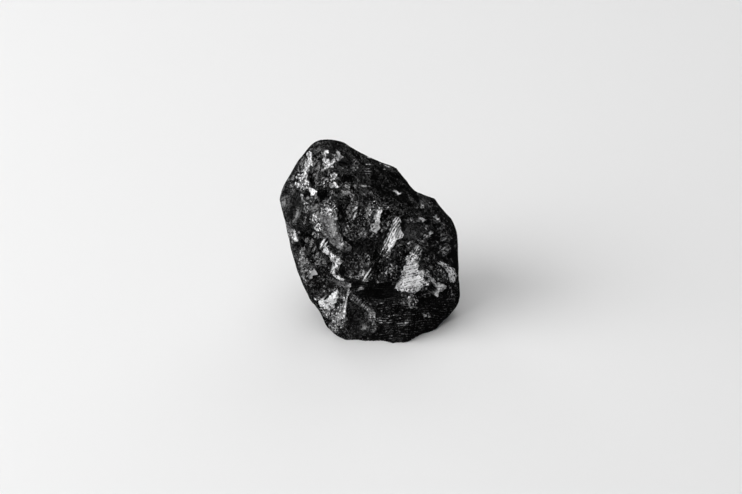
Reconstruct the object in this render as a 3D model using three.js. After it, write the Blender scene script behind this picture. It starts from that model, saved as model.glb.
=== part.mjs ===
// A rough black diamond: one natural piece, about 22 mm wide, 18 mm deep and 20 mm high.
// Millimetres, +Z up. The stone stands on a broken flat at z = 0, and the origin is under its middle.
//
// The stone is a star-shaped body: one radius for each direction from its core. A rounded pebble comes
// first. Cleavage planes, hollows and shell-like chips are then broken out of it, and the underside is
// cut by the flat that it rests on.
//
// Most places are given on the broad front face, which leans back: "across" runs to its right, "up" runs
// up along it and "out" stands straight off it, all counted from the core.

import * as THREE from 'three';
import { mergeVertices } from 'three/addons/utils/BufferGeometryUtils.js';

// ---- driving dimensions -------------------------------------------------------------------------------

const FACE_LEAN = THREE.MathUtils.degToRad(32);  // how far the front face leans back from upright
const CORE = new THREE.Vector3(-0.16, 0.07, 8.4);  // the core, above the flat that the stone rests on
const FRONT_DEPTH = 7.4;   // core to the crown of the front face
const BACK_DEPTH = 8.6;    // core to the crown of the back
const FULLNESS = 2.3;      // 2 gives elliptical sides, more gives squarer ones
const CORNER_FOCUS = 90;   // how closely the outline follows its points
const MESH_DETAIL = 21;    // splits along each edge of the starting icosahedron
const EDGE_ROUNDING = 0.15;
const EASING = { passes: 1, share: 0.4 };

// Outline of the front face, as across and up, clockwise from the crown.
const OUTLINE = [
  [-7.2, 12.1], [-5.4, 13.0], [-3.5, 12.7], [-2.0, 11.1], [0.0, 10.4], [2.1, 10.2], [3.8, 8.3],
  [5.3, 6.6], [7.9, 5.3], [8.8, 4.4], [10.2, 2.6], [10.8, 0.2], [10.6, -1.8], [10.9, -3.8],
  [10.9, -6.6], [10.4, -9.1], [8.9, -11.4], [6.6, -13.0], [3.1, -13.9], [-1.1, -13.4], [-4.2, -11.7],
  [-5.1, -9.6], [-6.5, -7.5], [-8.1, -5.0], [-8.9, -2.6], [-9.5, -0.3], [-9.8, 2.0], [-10.9, 4.2],
  [-11.0, 5.6], [-10.3, 7.1], [-9.2, 8.5], [-8.3, 10.3],
];

// Cleavage planes: normal as across, up, out; distance from the core; rounding where it meets the rest.
const CLEAVAGES = [
  { name: 'left flank', normal: [-0.75, 0.00, 0.66], away: 8.3, rounding: 0.5 },
  { name: 'brow', normal: [-0.50, 0.35, 0.79], away: 9.6, rounding: 0.5 },
  { name: 'upper right slope', normal: [0.42, 0.70, 0.58], away: 8.0, rounding: 0.4 },
  { name: 'right cheek', normal: [0.45, 0.05, 0.89], away: 7.9, rounding: 0.7 },
  { name: 'lower front', normal: [-0.10, -0.45, 0.89], away: 7.9, rounding: 0.6 },
  { name: 'lower right', normal: [0.62, -0.45, 0.64], away: 10.1, rounding: 0.7 },
  { name: 'upper back', normal: [-0.25, 0.62, -0.74], away: 8.6, rounding: 0.5 },
  { name: 'right back', normal: [0.70, 0.10, -0.71], away: 8.7, rounding: 0.4 },
  { name: 'left back', normal: [-0.74, -0.05, -0.67], away: 8.5, rounding: 0.5 },
  { name: 'lower back', normal: [0.10, -0.50, -0.86], away: 8.3, rounding: 0.5 },
  { name: 'left underside', normal: [-0.55, -0.70, -0.44], away: 10.2, rounding: 0.4 },
  { name: 'right underside', normal: [0.60, -0.68, -0.42], away: 11.8, rounding: 0.4 },
];

// Hollows of the front face and of the back, each a shallow oval bite. lean is how far its floor faces
// across and up; roll turns its long axis, in degrees from across.
const FRONT_HOLLOWS = [
  { name: 'crown shelf', across: -4.9, up: 11.8, long: 2.0, wide: 0.7, deep: 0.3, roll: 0, lean: [0.1, 1.0] },
  { name: 'temple strip', across: -7.6, up: 9.7, long: 2.0, wide: 0.7, deep: 0.3, roll: 70, lean: [-0.75, 0.15] },
  { name: 'temple groove', across: -6.4, up: 8.8, long: 2.3, wide: 0.6, deep: 0.5, roll: 86, lean: [0.35, 0.1] },
  { name: 'brow facet', across: -4.7, up: 10.0, long: 1.1, wide: 0.8, deep: 0.3, roll: 40, lean: [-0.69, 0.23] },
  { name: 'brow oval', across: -2.5, up: 7.8, long: 1.4, wide: 0.7, deep: 0.5, roll: -5, lean: [0.15, -0.2] },
  { name: 'brow ledge', across: -4.8, up: 5.8, long: 2.0, wide: 0.6, deep: 0.5, roll: -4, lean: [0, -0.5] },
  { name: 'left lens', across: -8.9, up: 4.2, long: 2.2, wide: 1.0, deep: 0.7, roll: 68, lean: [-0.85, 0.1] },
  { name: 'left oval', across: -7.2, up: -0.1, long: 1.8, wide: 1.0, deep: 0.7, roll: -60, lean: [-0.45, -0.1] },
  { name: 'left strip', across: -8.3, up: -2.3, long: 1.6, wide: 0.8, deep: 0.3, roll: -65, lean: [-0.9, -0.1] },
  { name: 'milky plate', across: -5.0, up: 2.6, long: 2.6, wide: 1.2, deep: 0.7, roll: -66, lean: [-0.4, 0.1] },
  { name: 'milky lobe', across: -3.7, up: 0.0, long: 1.3, wide: 0.8, deep: 0.4, roll: -30, lean: [-0.35, 0.1] },
  { name: 'ridge flank', across: -4.6, up: -1.7, long: 2.0, wide: 0.6, deep: 0.4, roll: -50, lean: [-0.69, 0.23] },
  { name: 'oval pit', across: -2.2, up: -2.9, long: 1.8, wide: 1.4, deep: 1.3, roll: 60, lean: [0, 0.1] },
  { name: 'deep hole', across: -0.5, up: -0.4, long: 2.0, wide: 1.1, deep: 1.1, roll: 8, lean: [0, 0] },
  { name: 'crevice', across: 1.0, up: -1.3, long: 4.3, wide: 0.6, deep: 1.0, roll: 86, lean: [0.1, 0] },
  { name: 'dark slab', across: 1.1, up: -5.9, long: 3.0, wide: 1.6, deep: 0.7, roll: -5, lean: [0.1, -0.6] },
  { name: 'centre field', across: -0.7, up: 2.9, long: 1.8, wide: 1.4, deep: 0.4, roll: 60, lean: [-0.05, 0.15] },
  { name: 'blade socket', across: 2.0, up: 3.0, long: 1.2, wide: 0.7, deep: 0.6, roll: 75, lean: [0.2, 0] },
  { name: 'blade', across: 2.7, up: 0.9, long: 2.8, wide: 1.1, deep: 0.7, roll: 62, lean: [-0.69, 0.2] },
  { name: 'smooth facet', across: 5.0, up: 1.3, long: 1.6, wide: 1.3, deep: 0.4, roll: 0, lean: [0.05, 0] },
  { name: 'white hollow', across: 5.0, up: -4.0, long: 2.0, wide: 1.7, deep: 0.7, roll: 10, lean: [-0.69, 0.2] },
  { name: 'white notch', across: 5.6, up: -1.1, long: 1.1, wide: 0.6, deep: 0.4, roll: 60, lean: [-0.69, 0.23] },
  { name: 'right pit', across: 8.6, up: -3.4, long: 1.6, wide: 1.3, deep: 1.2, roll: -60, lean: [0.25, 0] },
  { name: 'grey facet', across: 8.2, up: -5.4, long: 1.1, wide: 0.7, deep: 0.4, roll: -25, lean: [-0.4, 0.2] },
  { name: 'lower right hollow', across: 7.8, up: -8.2, long: 2.2, wide: 1.4, deep: 0.5, roll: 20, lean: [0.35, -0.4] },
  { name: 'layered foot', across: 3.4, up: -9.2, long: 2.9, wide: 1.6, deep: 0.7, roll: 3, lean: [0.1, -0.35] },
  { name: 'foot pit', across: -1.2, up: -9.1, long: 2.3, wide: 1.6, deep: 1.1, roll: 95, lean: [-0.1, -0.3] },
  { name: 'foot crescent', across: 0.2, up: -8.4, long: 2.0, wide: 0.6, deep: 0.4, roll: -62, lean: [-0.5, 0] },
  { name: 'round pit', across: -5.8, up: -5.3, long: 1.9, wide: 1.8, deep: 1.4, roll: 0, lean: [-0.25, -0.2] },
  { name: 'pit wall', across: -4.8, up: -6.8, long: 1.3, wide: 0.8, deep: 0.4, roll: 40, lean: [-0.8, 0.3] },
  { name: 'lower left face', across: -3.7, up: -8.5, long: 2.0, wide: 1.2, deep: 0.4, roll: 80, lean: [-0.6, -0.25] },
];
const BACK_HOLLOWS = [
  { name: 'back shell', across: 1.5, up: 3.0, long: 4.4, wide: 3.2, deep: 1.3, roll: 35, lean: [0.2, 0.25] },
  { name: 'back bowl', across: -4.2, up: -2.2, long: 2.9, wide: 2.3, deep: 1.2, roll: 70, lean: [-0.4, 0] },
  { name: 'back groove', across: 2.0, up: -3.2, long: 3.9, wide: 0.9, deep: 0.9, roll: -25, lean: [0, 0] },
  { name: 'back step', across: -3.6, up: 6.2, long: 2.4, wide: 1.3, deep: 0.6, roll: 10, lean: [-0.3, 0.8] },
  { name: 'back foot', across: 5.0, up: -7.0, long: 2.6, wide: 1.9, deep: 0.8, roll: 30, lean: [0.5, -0.5] },
  { name: 'back pit', across: 5.9, up: 0.6, long: 1.5, wide: 1.2, deep: 0.8, roll: -50, lean: [0.5, 0.1] },
];

// Shell-like chips, scattered over the sides, the back and the underside.
const CHIPS = {
  count: 150, seed: 11, small: 1.2, large: 2.6, deepShare: 0.36, leanSpread: 0.3,
  faceLimit: 0.25,   // none where the surface faces further out than this
  rimLimit: 0.40,    // shallower where it is seen edge on from the front
  rimDepth: 0.22,
};

// The irregular wander of every scar's edge: a share of the radius, and its waves per radian.
const WANDERS = [{ reach: 0.013, pitch: 12 }, { reach: 0.007, pitch: 27 }];

// ---- small helpers ------------------------------------------------------------------------------------

const ACROSS = new THREE.Vector3(1, 0, 0);
const UP = new THREE.Vector3(0, Math.sin(FACE_LEAN), Math.cos(FACE_LEAN));
const OUT = new THREE.Vector3(0, -Math.cos(FACE_LEAN), Math.sin(FACE_LEAN));
const FACE_TO_STONE = new THREE.Matrix4().makeBasis(ACROSS, UP, OUT);
const STONE_TO_FACE = FACE_TO_STONE.clone().transpose();
const GOLDEN_ANGLE = Math.PI * (3 - Math.sqrt(5));

// The smaller of two lengths, with a fillet about `rounding` wide where they cross.
function roundedMin(a, b, rounding) {
  const overlap = Math.max(rounding - Math.abs(a - b), 0);
  return Math.min(a, b) - overlap * overlap / (4 * rounding);
}

// A repeatable number from 0 to 1 for an index and a seed.
function scatter(index, seed) {
  const wave = Math.sin(index * 12.9898 + seed * 78.233) * 43758.5453;
  return wave - Math.floor(wave);
}

function wander(direction) {
  const moved = direction.clone();
  for (const { reach, pitch } of WANDERS) {
    const { x, y, z } = direction;
    moved.x += reach * Math.sin(pitch * y + 2.1 * Math.sin(0.7 * pitch * z));
    moved.y += reach * Math.sin(pitch * z + 1.7 + 2.1 * Math.sin(0.7 * pitch * x));
    moved.z += reach * Math.sin(pitch * x + 4.2 + 2.1 * Math.sin(0.7 * pitch * y));
  }
  return moved.normalize();
}

// ---- the unbroken body --------------------------------------------------------------------------------

const OUTLINE_POLAR = OUTLINE.map(([across, up]) => ({
  angle: Math.atan2(up, across),
  radius: Math.hypot(across, up),
}));

function outlineRadius(angle) {
  let total = 0;
  let weight = 0;
  for (const point of OUTLINE_POLAR) {
    const near = Math.exp(CORNER_FOCUS * (Math.cos(angle - point.angle) - 1));
    total += near * point.radius;
    weight += near;
  }
  return total / weight;
}

function pebbleRadius(d) {
  const flat = Math.hypot(d.x, d.y) / outlineRadius(Math.atan2(d.y, d.x));
  const thick = Math.abs(d.z) / (d.z > 0 ? FRONT_DEPTH : BACK_DEPTH);
  return (flat ** FULLNESS + thick ** FULLNESS) ** (-1 / FULLNESS);
}

const CLEAVAGE_PLANES = CLEAVAGES.map(({ normal, away, rounding }) => ({
  normal: new THREE.Vector3(...normal).normalize(), away, rounding,
}));

function cleavedRadius(d) {
  let radius = pebbleRadius(d);
  for (const { normal, away, rounding } of CLEAVAGE_PLANES) {
    const facing = d.dot(normal);
    if (facing > 0.05) radius = roundedMin(radius, away / facing, rounding);
  }
  return radius;
}

// ---- scars --------------------------------------------------------------------------------------------

// A scar is the bite of a flattened ball: oval, `deep` below `point` and centred above it along `normal`.
function makeScar(point, normal, longAxis, long, wide, deep) {
  const ball = (wide * wide + deep * deep) / (2 * deep);
  const e3 = normal.clone().normalize();
  const e1 = longAxis.clone().addScaledVector(e3, -longAxis.dot(e3)).normalize();
  const e2 = new THREE.Vector3().crossVectors(e3, e1);
  const centre = point.clone().addScaledVector(e3, ball - deep);
  const axes = [e1.multiplyScalar(wide / (long * ball)), e2.divideScalar(ball), e3.divideScalar(ball)];
  return { axes, centre: axes.map((axis) => axis.dot(centre)) };
}

function scarredRadius(radius, d, scars) {
  let cut = radius;
  for (const { axes, centre } of scars) {
    let a = 0;
    let b = 0;
    let c = -1;
    for (let i = 0; i < 3; i += 1) {
      const along = axes[i].dot(d);
      a += along * along;
      b -= along * centre[i];
      c += centre[i] * centre[i];
    }
    const inside = b * b - a * c;
    if (inside > 0 && b < 0) {
      const entry = (-b - Math.sqrt(inside)) / a;
      if (entry > 0) cut = roundedMin(cut, entry, EDGE_ROUNDING);
    }
  }
  return cut;
}

// Where the cleaved body is met at a place on the face, looking straight at it from side +1 or -1.
function surfacePoint(across, up, side) {
  let inner = 0;
  let outer = side * BACK_DEPTH;
  for (let step = 0; step < 40; step += 1) {
    const middle = (inner + outer) / 2;
    const point = new THREE.Vector3(across, up, middle);
    if (point.length() < cleavedRadius(point.clone().normalize())) inner = middle;
    else outer = middle;
  }
  return new THREE.Vector3(across, up, inner);
}

function makeHollows(hollows, side) {
  return hollows.map(({ across, up, long, wide, deep, roll, lean }) => {
    const turn = THREE.MathUtils.degToRad(roll);
    const normal = new THREE.Vector3(lean[0], lean[1], side);
    const longAxis = new THREE.Vector3(Math.cos(turn), Math.sin(turn), 0);
    return makeScar(surfacePoint(across, up, side), normal, longAxis, long, wide, deep);
  });
}

// The outward normal of a surface given as a radius for each direction.
function surfaceNormal(radiusOf, d) {
  const step = 0.02;
  const side = Math.abs(d.x) < 0.9 ? new THREE.Vector3(1, 0, 0) : new THREE.Vector3(0, 1, 0);
  const u = new THREE.Vector3().crossVectors(d, side).normalize();
  const v = new THREE.Vector3().crossVectors(d, u);
  const at = (p) => p.normalize().multiplyScalar(radiusOf(p));
  const du = at(d.clone().addScaledVector(u, step)).sub(at(d.clone().addScaledVector(u, -step)));
  const dv = at(d.clone().addScaledVector(v, step)).sub(at(d.clone().addScaledVector(v, -step)));
  return du.cross(dv).normalize();
}

function makeChips(chips) {
  const scars = [];
  for (let i = 0; i < chips.count; i += 1) {
    const height = 1 - 2 * (i + 0.5 + 0.8 * (scatter(i, chips.seed) - 0.5)) / chips.count;
    const angle = i * GOLDEN_ANGLE + 0.5 * scatter(i, chips.seed + 1);
    const ring = Math.sqrt(1 - height * height);
    const d = new THREE.Vector3(ring * Math.cos(angle), ring * Math.sin(angle), height);
    const normal = surfaceNormal(cleavedRadius, d);
    if (normal.z > chips.faceLimit) continue;
    const wide = chips.small + (chips.large - chips.small) * scatter(i, chips.seed + 2) ** 2;
    const long = wide * (1 + 0.6 * scatter(i, chips.seed + 3));
    const rim = Math.abs(normal.z) < chips.rimLimit ? chips.rimDepth : 1;
    const deep = wide * chips.deepShare * rim * (0.6 + 0.8 * scatter(i, chips.seed + 4));
    const lean = new THREE.Vector3(
      scatter(i, chips.seed + 5) - 0.5, scatter(i, chips.seed + 6) - 0.5, scatter(i, chips.seed + 7) - 0.5);
    const turn = 2 * Math.PI * scatter(i, chips.seed + 8);
    const longAxis = new THREE.Vector3(Math.cos(turn), Math.sin(turn), Math.cos(2.3 * turn));
    const floor = normal.addScaledVector(lean, 2 * chips.leanSpread * rim);
    scars.push(makeScar(d.clone().multiplyScalar(hollowedRadius(d)), floor, longAxis, long, wide, deep));
  }
  return scars;
}

// ---- the stone ----------------------------------------------------------------------------------------

const hollows = [...makeHollows(FRONT_HOLLOWS, 1), ...makeHollows(BACK_HOLLOWS, -1)];
const hollowedRadius = (d) => scarredRadius(cleavedRadius(d), d, hollows);
const chips = makeChips(CHIPS);

function stoneRadius(d) {
  const wandering = wander(d);
  return scarredRadius(hollowedRadius(wandering), wandering, chips);
}

// Eases the ragged facets of steep walls: each corner moves part of the way to the middle of its ring.
function easeFacets(geometry) {
  const position = geometry.attributes.position;
  const corners = geometry.index.array;
  for (let pass = 0; pass < EASING.passes; pass += 1) {
    const sums = Array.from({ length: position.count }, () => new THREE.Vector4(0, 0, 0, 0));
    for (let i = 0; i < corners.length; i += 1) {
      const next = i % 3 === 2 ? i - 2 : i + 1;
      const neighbour = new THREE.Vector3().fromBufferAttribute(position, corners[next]);
      sums[corners[i]].add(new THREE.Vector4(neighbour.x, neighbour.y, neighbour.z, 1));
    }
    for (let i = 0; i < position.count; i += 1) {
      const point = new THREE.Vector3().fromBufferAttribute(position, i);
      const { x, y, z, w } = sums[i];
      const eased = point.clone().lerp(new THREE.Vector3(x, y, z).divideScalar(w), EASING.share);
      if (point.z === 0) eased.z = 0;
      position.setXYZ(i, eased.x, eased.y, Math.max(eased.z, 0));
    }
  }
}

function makeStone() {
  const ball = new THREE.IcosahedronGeometry(1, MESH_DETAIL);
  ball.deleteAttribute('normal');
  ball.deleteAttribute('uv');
  const geometry = mergeVertices(ball, 1e-5);
  const position = geometry.attributes.position;
  for (let i = 0; i < position.count; i += 1) {
    const direction = new THREE.Vector3().fromBufferAttribute(position, i).normalize();
    let radius = stoneRadius(direction.clone().applyMatrix4(STONE_TO_FACE));
    if (direction.z < 0) radius = Math.min(radius, -CORE.z / direction.z);
    const point = direction.multiplyScalar(radius).add(CORE);
    if (point.z < 1e-6) point.z = 0;
    position.setXYZ(i, point.x, point.y, point.z);
  }
  easeFacets(geometry);
  geometry.computeVertexNormals();
  return geometry;
}

const stone = new THREE.Mesh(
  makeStone(),
  new THREE.MeshStandardMaterial({ color: 0x1c1c1f, roughness: 0.25, metalness: 0.0 }),
);
stone.name = 'rough_diamond';

const model = new THREE.Group();
model.add(stone);
export default model;
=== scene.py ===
# A rough black diamond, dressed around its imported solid.
#
# The stone is a star-shaped body: one radius for each direction from its core. A rounded pebble comes
# first. Cleavage planes, hollows and chips are then broken out of it, and the underside is cut by the flat
# that it rests on. The big forms are the solid's own, and the finer scars are added here.
#
# The shape is worked out in millimetres and put into the mesh in metres.

import math
from collections import namedtuple

import bmesh
import bpy
import numpy as np
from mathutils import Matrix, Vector


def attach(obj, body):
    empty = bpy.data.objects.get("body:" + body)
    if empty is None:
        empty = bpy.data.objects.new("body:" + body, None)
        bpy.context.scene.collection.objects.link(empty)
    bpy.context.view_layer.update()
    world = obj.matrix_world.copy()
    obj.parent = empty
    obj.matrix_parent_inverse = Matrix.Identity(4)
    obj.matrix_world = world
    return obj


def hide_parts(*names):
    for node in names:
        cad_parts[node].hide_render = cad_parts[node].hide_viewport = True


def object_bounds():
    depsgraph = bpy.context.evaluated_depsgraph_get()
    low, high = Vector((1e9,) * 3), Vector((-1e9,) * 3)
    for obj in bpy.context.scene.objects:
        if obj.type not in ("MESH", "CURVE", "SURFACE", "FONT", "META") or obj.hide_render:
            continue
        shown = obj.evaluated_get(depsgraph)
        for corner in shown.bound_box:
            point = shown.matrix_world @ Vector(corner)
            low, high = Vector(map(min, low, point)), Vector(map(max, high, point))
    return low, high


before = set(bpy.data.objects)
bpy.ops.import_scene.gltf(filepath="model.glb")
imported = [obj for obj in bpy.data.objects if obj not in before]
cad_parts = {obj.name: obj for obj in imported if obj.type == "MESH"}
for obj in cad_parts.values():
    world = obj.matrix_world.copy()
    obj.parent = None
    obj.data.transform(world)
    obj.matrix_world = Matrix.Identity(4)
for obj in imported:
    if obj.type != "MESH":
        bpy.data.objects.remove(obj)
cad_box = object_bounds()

MM = 0.001
NODE = "rough_diamond"

# ---- sizes of the stone, in millimetres ---------------------------------------------------------------

FACE_LEAN = math.radians(32)   # how far the broad front face leans back from upright
CORE = np.array([-0.16, 0.07, 8.4])   # the core, above the flat that the stone rests on
FRONT_DEPTH = 7.4
BACK_DEPTH = 8.6
FULLNESS = 2.3       # 2 gives elliptical sides, more gives squarer ones
CORNER_FOCUS = 90    # how closely the outline follows its points
LEAST_FACING = 0.05  # a cleavage plane leaves alone what faces it less than this
LEAST_DOWN = 1e-6    # directions that point down less than this never meet the flat
HALVINGS = 30        # of the depth, to find where the surface is met
NORMAL_STEP = 0.02   # the step, in radians, between the places that give the way a surface faces
SIDEWAYS = 0.9       # past this, a direction counts as running across

# Outline of the front face, as across and up, clockwise from the crown.
OUTLINE = [
    (-7.2, 12.1), (-5.4, 13.0), (-3.5, 12.7), (-2.0, 11.1), (0.0, 10.4), (2.1, 10.2), (3.8, 8.3),
    (5.3, 6.6), (7.9, 5.3), (8.8, 4.4), (10.2, 2.6), (10.8, 0.2), (10.6, -1.8), (10.9, -3.8),
    (10.9, -6.6), (10.4, -9.1), (8.9, -11.4), (6.6, -13.0), (3.1, -13.9), (-1.1, -13.4), (-4.2, -11.7),
    (-5.1, -9.6), (-6.5, -7.5), (-8.1, -5.0), (-8.9, -2.6), (-9.5, -0.3), (-9.8, 2.0), (-10.9, 4.2),
    (-11.0, 5.6), (-10.3, 7.1), (-9.2, 8.5), (-8.3, 10.3),
]

# Cleavage planes: normal as across, up, out; distance from the core; rounding where it meets the rest.
CLEAVAGES = [
    ((-0.75, 0.00, 0.66), 8.3, 0.5),    # left flank
    ((-0.50, 0.35, 0.79), 9.6, 0.5),    # brow
    ((0.42, 0.70, 0.58), 8.0, 0.4),     # upper right slope
    ((0.45, 0.05, 0.89), 7.9, 0.7),     # right cheek
    ((-0.10, -0.45, 0.89), 7.9, 0.6),   # lower front
    ((0.62, -0.45, 0.64), 10.1, 0.7),   # lower right
    ((-0.25, 0.62, -0.74), 8.6, 0.5),   # upper back
    ((0.70, 0.10, -0.71), 8.7, 0.4),    # right back
    ((-0.74, -0.05, -0.67), 8.5, 0.5),  # left back
    ((0.10, -0.50, -0.86), 8.3, 0.5),   # lower back
    ((-0.55, -0.70, -0.44), 10.2, 0.4),  # left underside
    ((0.60, -0.68, -0.42), 11.8, 0.4),  # right underside
]

# A hollow is an oval bite: half length, half width, depth, the roll of its long axis in degrees from
# across, and how far its floor faces across and up. splinter is how broken its floor is, from 0 to 1.
Hollow = namedtuple("Hollow", "name across up long wide deep roll lean_across lean_up splinter")

FRONT_HOLLOWS = [
    Hollow("crown shelf", -4.9, 11.8, 2.0, 0.7, 0.3, 0, 0.1, 1.0, 0.6),
    Hollow("temple strip", -7.6, 9.7, 2.0, 0.7, 0.3, 70, -0.75, 0.15, 0.7),
    Hollow("temple groove", -6.4, 8.8, 2.3, 0.6, 0.5, 86, 0.35, 0.1, 1.0),
    Hollow("brow facet", -4.7, 10.0, 1.1, 0.8, 0.3, 40, -0.69, 0.23, 0.8),
    Hollow("brow oval", -2.5, 7.8, 1.4, 0.7, 0.5, -5, 0.15, -0.2, 0.2),
    Hollow("brow ledge", -4.8, 5.8, 2.0, 0.6, 0.5, -4, 0, -0.5, 0.1),
    Hollow("left lens", -8.9, 4.2, 2.2, 1.0, 0.7, 68, -0.85, 0.1, 0.2),
    Hollow("left oval", -7.2, -0.1, 1.8, 1.0, 0.7, -60, -0.45, -0.1, 0.6),
    Hollow("left strip", -8.3, -2.3, 1.6, 0.8, 0.3, -65, -0.9, -0.1, 0.6),
    Hollow("milky plate", -5.0, 2.6, 2.6, 1.2, 0.7, -66, -0.4, 0.1, 0.15),
    Hollow("milky lobe", -3.7, 0.0, 1.3, 0.8, 0.4, -30, -0.35, 0.1, 0.1),
    Hollow("ridge flank", -4.6, -1.7, 2.0, 0.6, 0.4, -50, -0.69, 0.23, 0.5),
    Hollow("oval pit", -2.2, -2.9, 1.8, 1.4, 1.3, 60, 0, 0.1, 0.5),
    Hollow("deep hole", -0.5, -0.4, 2.0, 1.1, 1.1, 8, 0, 0, 0.3),
    Hollow("crevice", 1.0, -1.3, 4.3, 0.6, 1.0, 86, 0.1, 0, 0.4),
    Hollow("dark slab", 1.1, -5.9, 3.0, 1.6, 0.7, -5, 0.1, -0.6, 0.15),
    Hollow("centre field", -0.7, 2.9, 1.8, 1.4, 0.4, 60, -0.05, 0.15, 1.0),
    Hollow("blade socket", 2.0, 3.0, 1.2, 0.7, 0.6, 75, 0.2, 0, 0.7),
    Hollow("blade", 2.7, 0.9, 2.8, 1.1, 0.7, 62, -0.69, 0.2, 0.3),
    Hollow("smooth facet", 5.0, 1.3, 1.6, 1.3, 0.4, 0, 0.05, 0, 0.05),
    Hollow("white hollow", 5.0, -4.0, 2.0, 1.7, 0.7, 10, -0.69, 0.2, 0.6),
    Hollow("white notch", 5.6, -1.1, 1.1, 0.6, 0.4, 60, -0.69, 0.23, 0.8),
    Hollow("right pit", 8.6, -3.4, 1.6, 1.3, 1.2, -60, 0.25, 0, 0.2),
    Hollow("grey facet", 8.2, -5.4, 1.1, 0.7, 0.4, -25, -0.4, 0.2, 0.1),
    Hollow("lower right hollow", 7.8, -8.2, 2.2, 1.4, 0.5, 20, 0.35, -0.4, 0.7),
    Hollow("layered foot", 3.4, -9.2, 2.9, 1.6, 0.7, 3, 0.1, -0.35, 0.7),
    Hollow("foot pit", -1.2, -9.1, 2.3, 1.6, 1.1, 95, -0.1, -0.3, 0.15),
    Hollow("foot crescent", 0.2, -8.4, 2.0, 0.6, 0.4, -62, -0.5, 0, 0.3),
    Hollow("round pit", -5.8, -5.3, 1.9, 1.8, 1.4, 0, -0.25, -0.2, 0.7),
    Hollow("pit wall", -4.8, -6.8, 1.3, 0.8, 0.4, 40, -0.8, 0.3, 0.4),
    Hollow("lower left face", -3.7, -8.5, 2.0, 1.2, 0.4, 80, -0.6, -0.25, 0.6),
]
BACK_HOLLOWS = [
    Hollow("back shell", 1.5, 3.0, 4.4, 3.2, 1.3, 35, 0.2, 0.25, 0.2),
    Hollow("back bowl", -4.2, -2.2, 2.9, 2.3, 1.2, 70, -0.4, 0, 0.3),
    Hollow("back groove", 2.0, -3.2, 3.9, 0.9, 0.9, -25, 0, 0, 0.6),
    Hollow("back step", -3.6, 6.2, 2.4, 1.3, 0.6, 10, -0.3, 0.8, 0.7),
    Hollow("back foot", 5.0, -7.0, 2.6, 1.9, 0.8, 30, 0.5, -0.5, 0.4),
    Hollow("back pit", 5.9, 0.6, 1.5, 1.2, 0.8, -50, 0.5, 0.1, 0.2),
]

# Small hollows that only this finer mesh can hold.
FINE_HOLLOWS = [
    Hollow("temple wedge", -6.8, 6.2, 0.7, 0.5, 0.25, -40, -0.69, 0.23, 0.1),
    Hollow("cheek flake", -8.0, 7.6, 1.1, 0.9, 0.3, 60, -0.75, 0.2, 0.9),
    Hollow("brow flake", -5.3, 10.8, 0.6, 0.4, 0.2, 45, -0.69, 0.23, 0.3),
    Hollow("crown flake", -3.5, 10.3, 0.7, 0.35, 0.2, 100, -0.69, 0.23, 0.3),
    Hollow("brow scab", -4.3, 7.4, 1.1, 0.7, 0.3, -30, -0.6, 0.3, 0.9),
    Hollow("slope dish", -2.8, 9.5, 0.9, 0.7, 0.35, 0, 0.35, 0.4, 0.6),
    Hollow("slope band", -1.3, 9.4, 1.1, 0.6, 0.25, 60, -0.25, 0.35, 0.3),
    Hollow("small dish", -7.6, 5.5, 0.8, 0.7, 0.35, 0, -0.35, 0, 0.1),
    Hollow("left rim flake", -10.1, 5.2, 1.1, 0.6, 0.25, 80, -1.3, 0.2, 0.3),
    Hollow("left rim strip", -9.2, 0.6, 1.4, 0.6, 0.25, -66, -1.1, 0.1, 0.3),
    Hollow("left chip", -6.6, -3.6, 0.7, 0.5, 0.2, 30, -0.69, 0.2, 0.2),
    Hollow("plate shadow", -2.9, 3.4, 1.8, 0.9, 0.45, 75, 0.25, 0.1, 1.0),
    Hollow("ridge end", -3.8, -3.0, 1.0, 0.7, 0.35, -60, -0.69, 0.23, 0.6),
    Hollow("mottled wall", 2.2, -3.1, 1.4, 0.8, 0.35, 70, -0.25, 0.1, 0.8),
    Hollow("bright notch high", 1.0, 3.2, 1.5, 0.6, 0.4, 85, -0.69, 0.23, 0.3),
    Hollow("bright notch low", 0.6, 1.7, 0.9, 0.6, 0.35, 30, -0.69, 0.23, 0.3),
    Hollow("blade tip", 3.8, 1.2, 0.8, 0.35, 0.35, 85, -0.69, 0.23, 0.1),
    Hollow("black spot", 3.2, -0.4, 0.7, 0.6, 0.5, 60, 0.3, -0.2, 0.3),
    Hollow("streaked step", 5.9, 2.8, 1.2, 0.35, 0.2, -8, -0.5, 0.4, 0.4),
    Hollow("right flake", 8.2, 3.1, 0.6, 0.35, 0.2, 0, -0.6, 0.3, 0.2),
    Hollow("slope glint", 3.4, 6.1, 0.6, 0.35, 0.2, -20, -0.6, 0.3, 0.1),
    Hollow("shoulder flake", 6.4, 4.6, 0.8, 0.35, 0.2, 70, -0.5, 0.3, 0.3),
    Hollow("shoulder pit", 5.2, 4.7, 0.8, 0.6, 0.4, 0, 0.3, 0.3, 0.6),
    Hollow("right scales", 7.1, 1.2, 1.0, 0.8, 0.3, 40, -0.2, 0.1, 1.0),
    Hollow("right hole", 8.0, 0.1, 0.8, 0.6, 0.45, 80, 0.4, -0.1, 0.5),
    Hollow("right flank", 9.1, -0.7, 1.1, 0.7, 0.25, 30, 0.1, 0.1, 0.6),
    Hollow("white shoulder", 6.4, -4.9, 1.0, 0.8, 0.3, 20, -0.6, 0.3, 0.6),
    Hollow("white heel", 3.8, -5.4, 1.0, 0.6, 0.3, -10, -0.7, 0.1, 0.5),
    Hollow("right lip", 9.8, -3.6, 1.4, 0.45, 0.25, -60, -0.2, 0.2, 0.4),
    Hollow("dark lozenge", 7.0, -5.8, 0.9, 0.7, 0.4, 0, 0.2, -0.3, 0.2),
]

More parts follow.
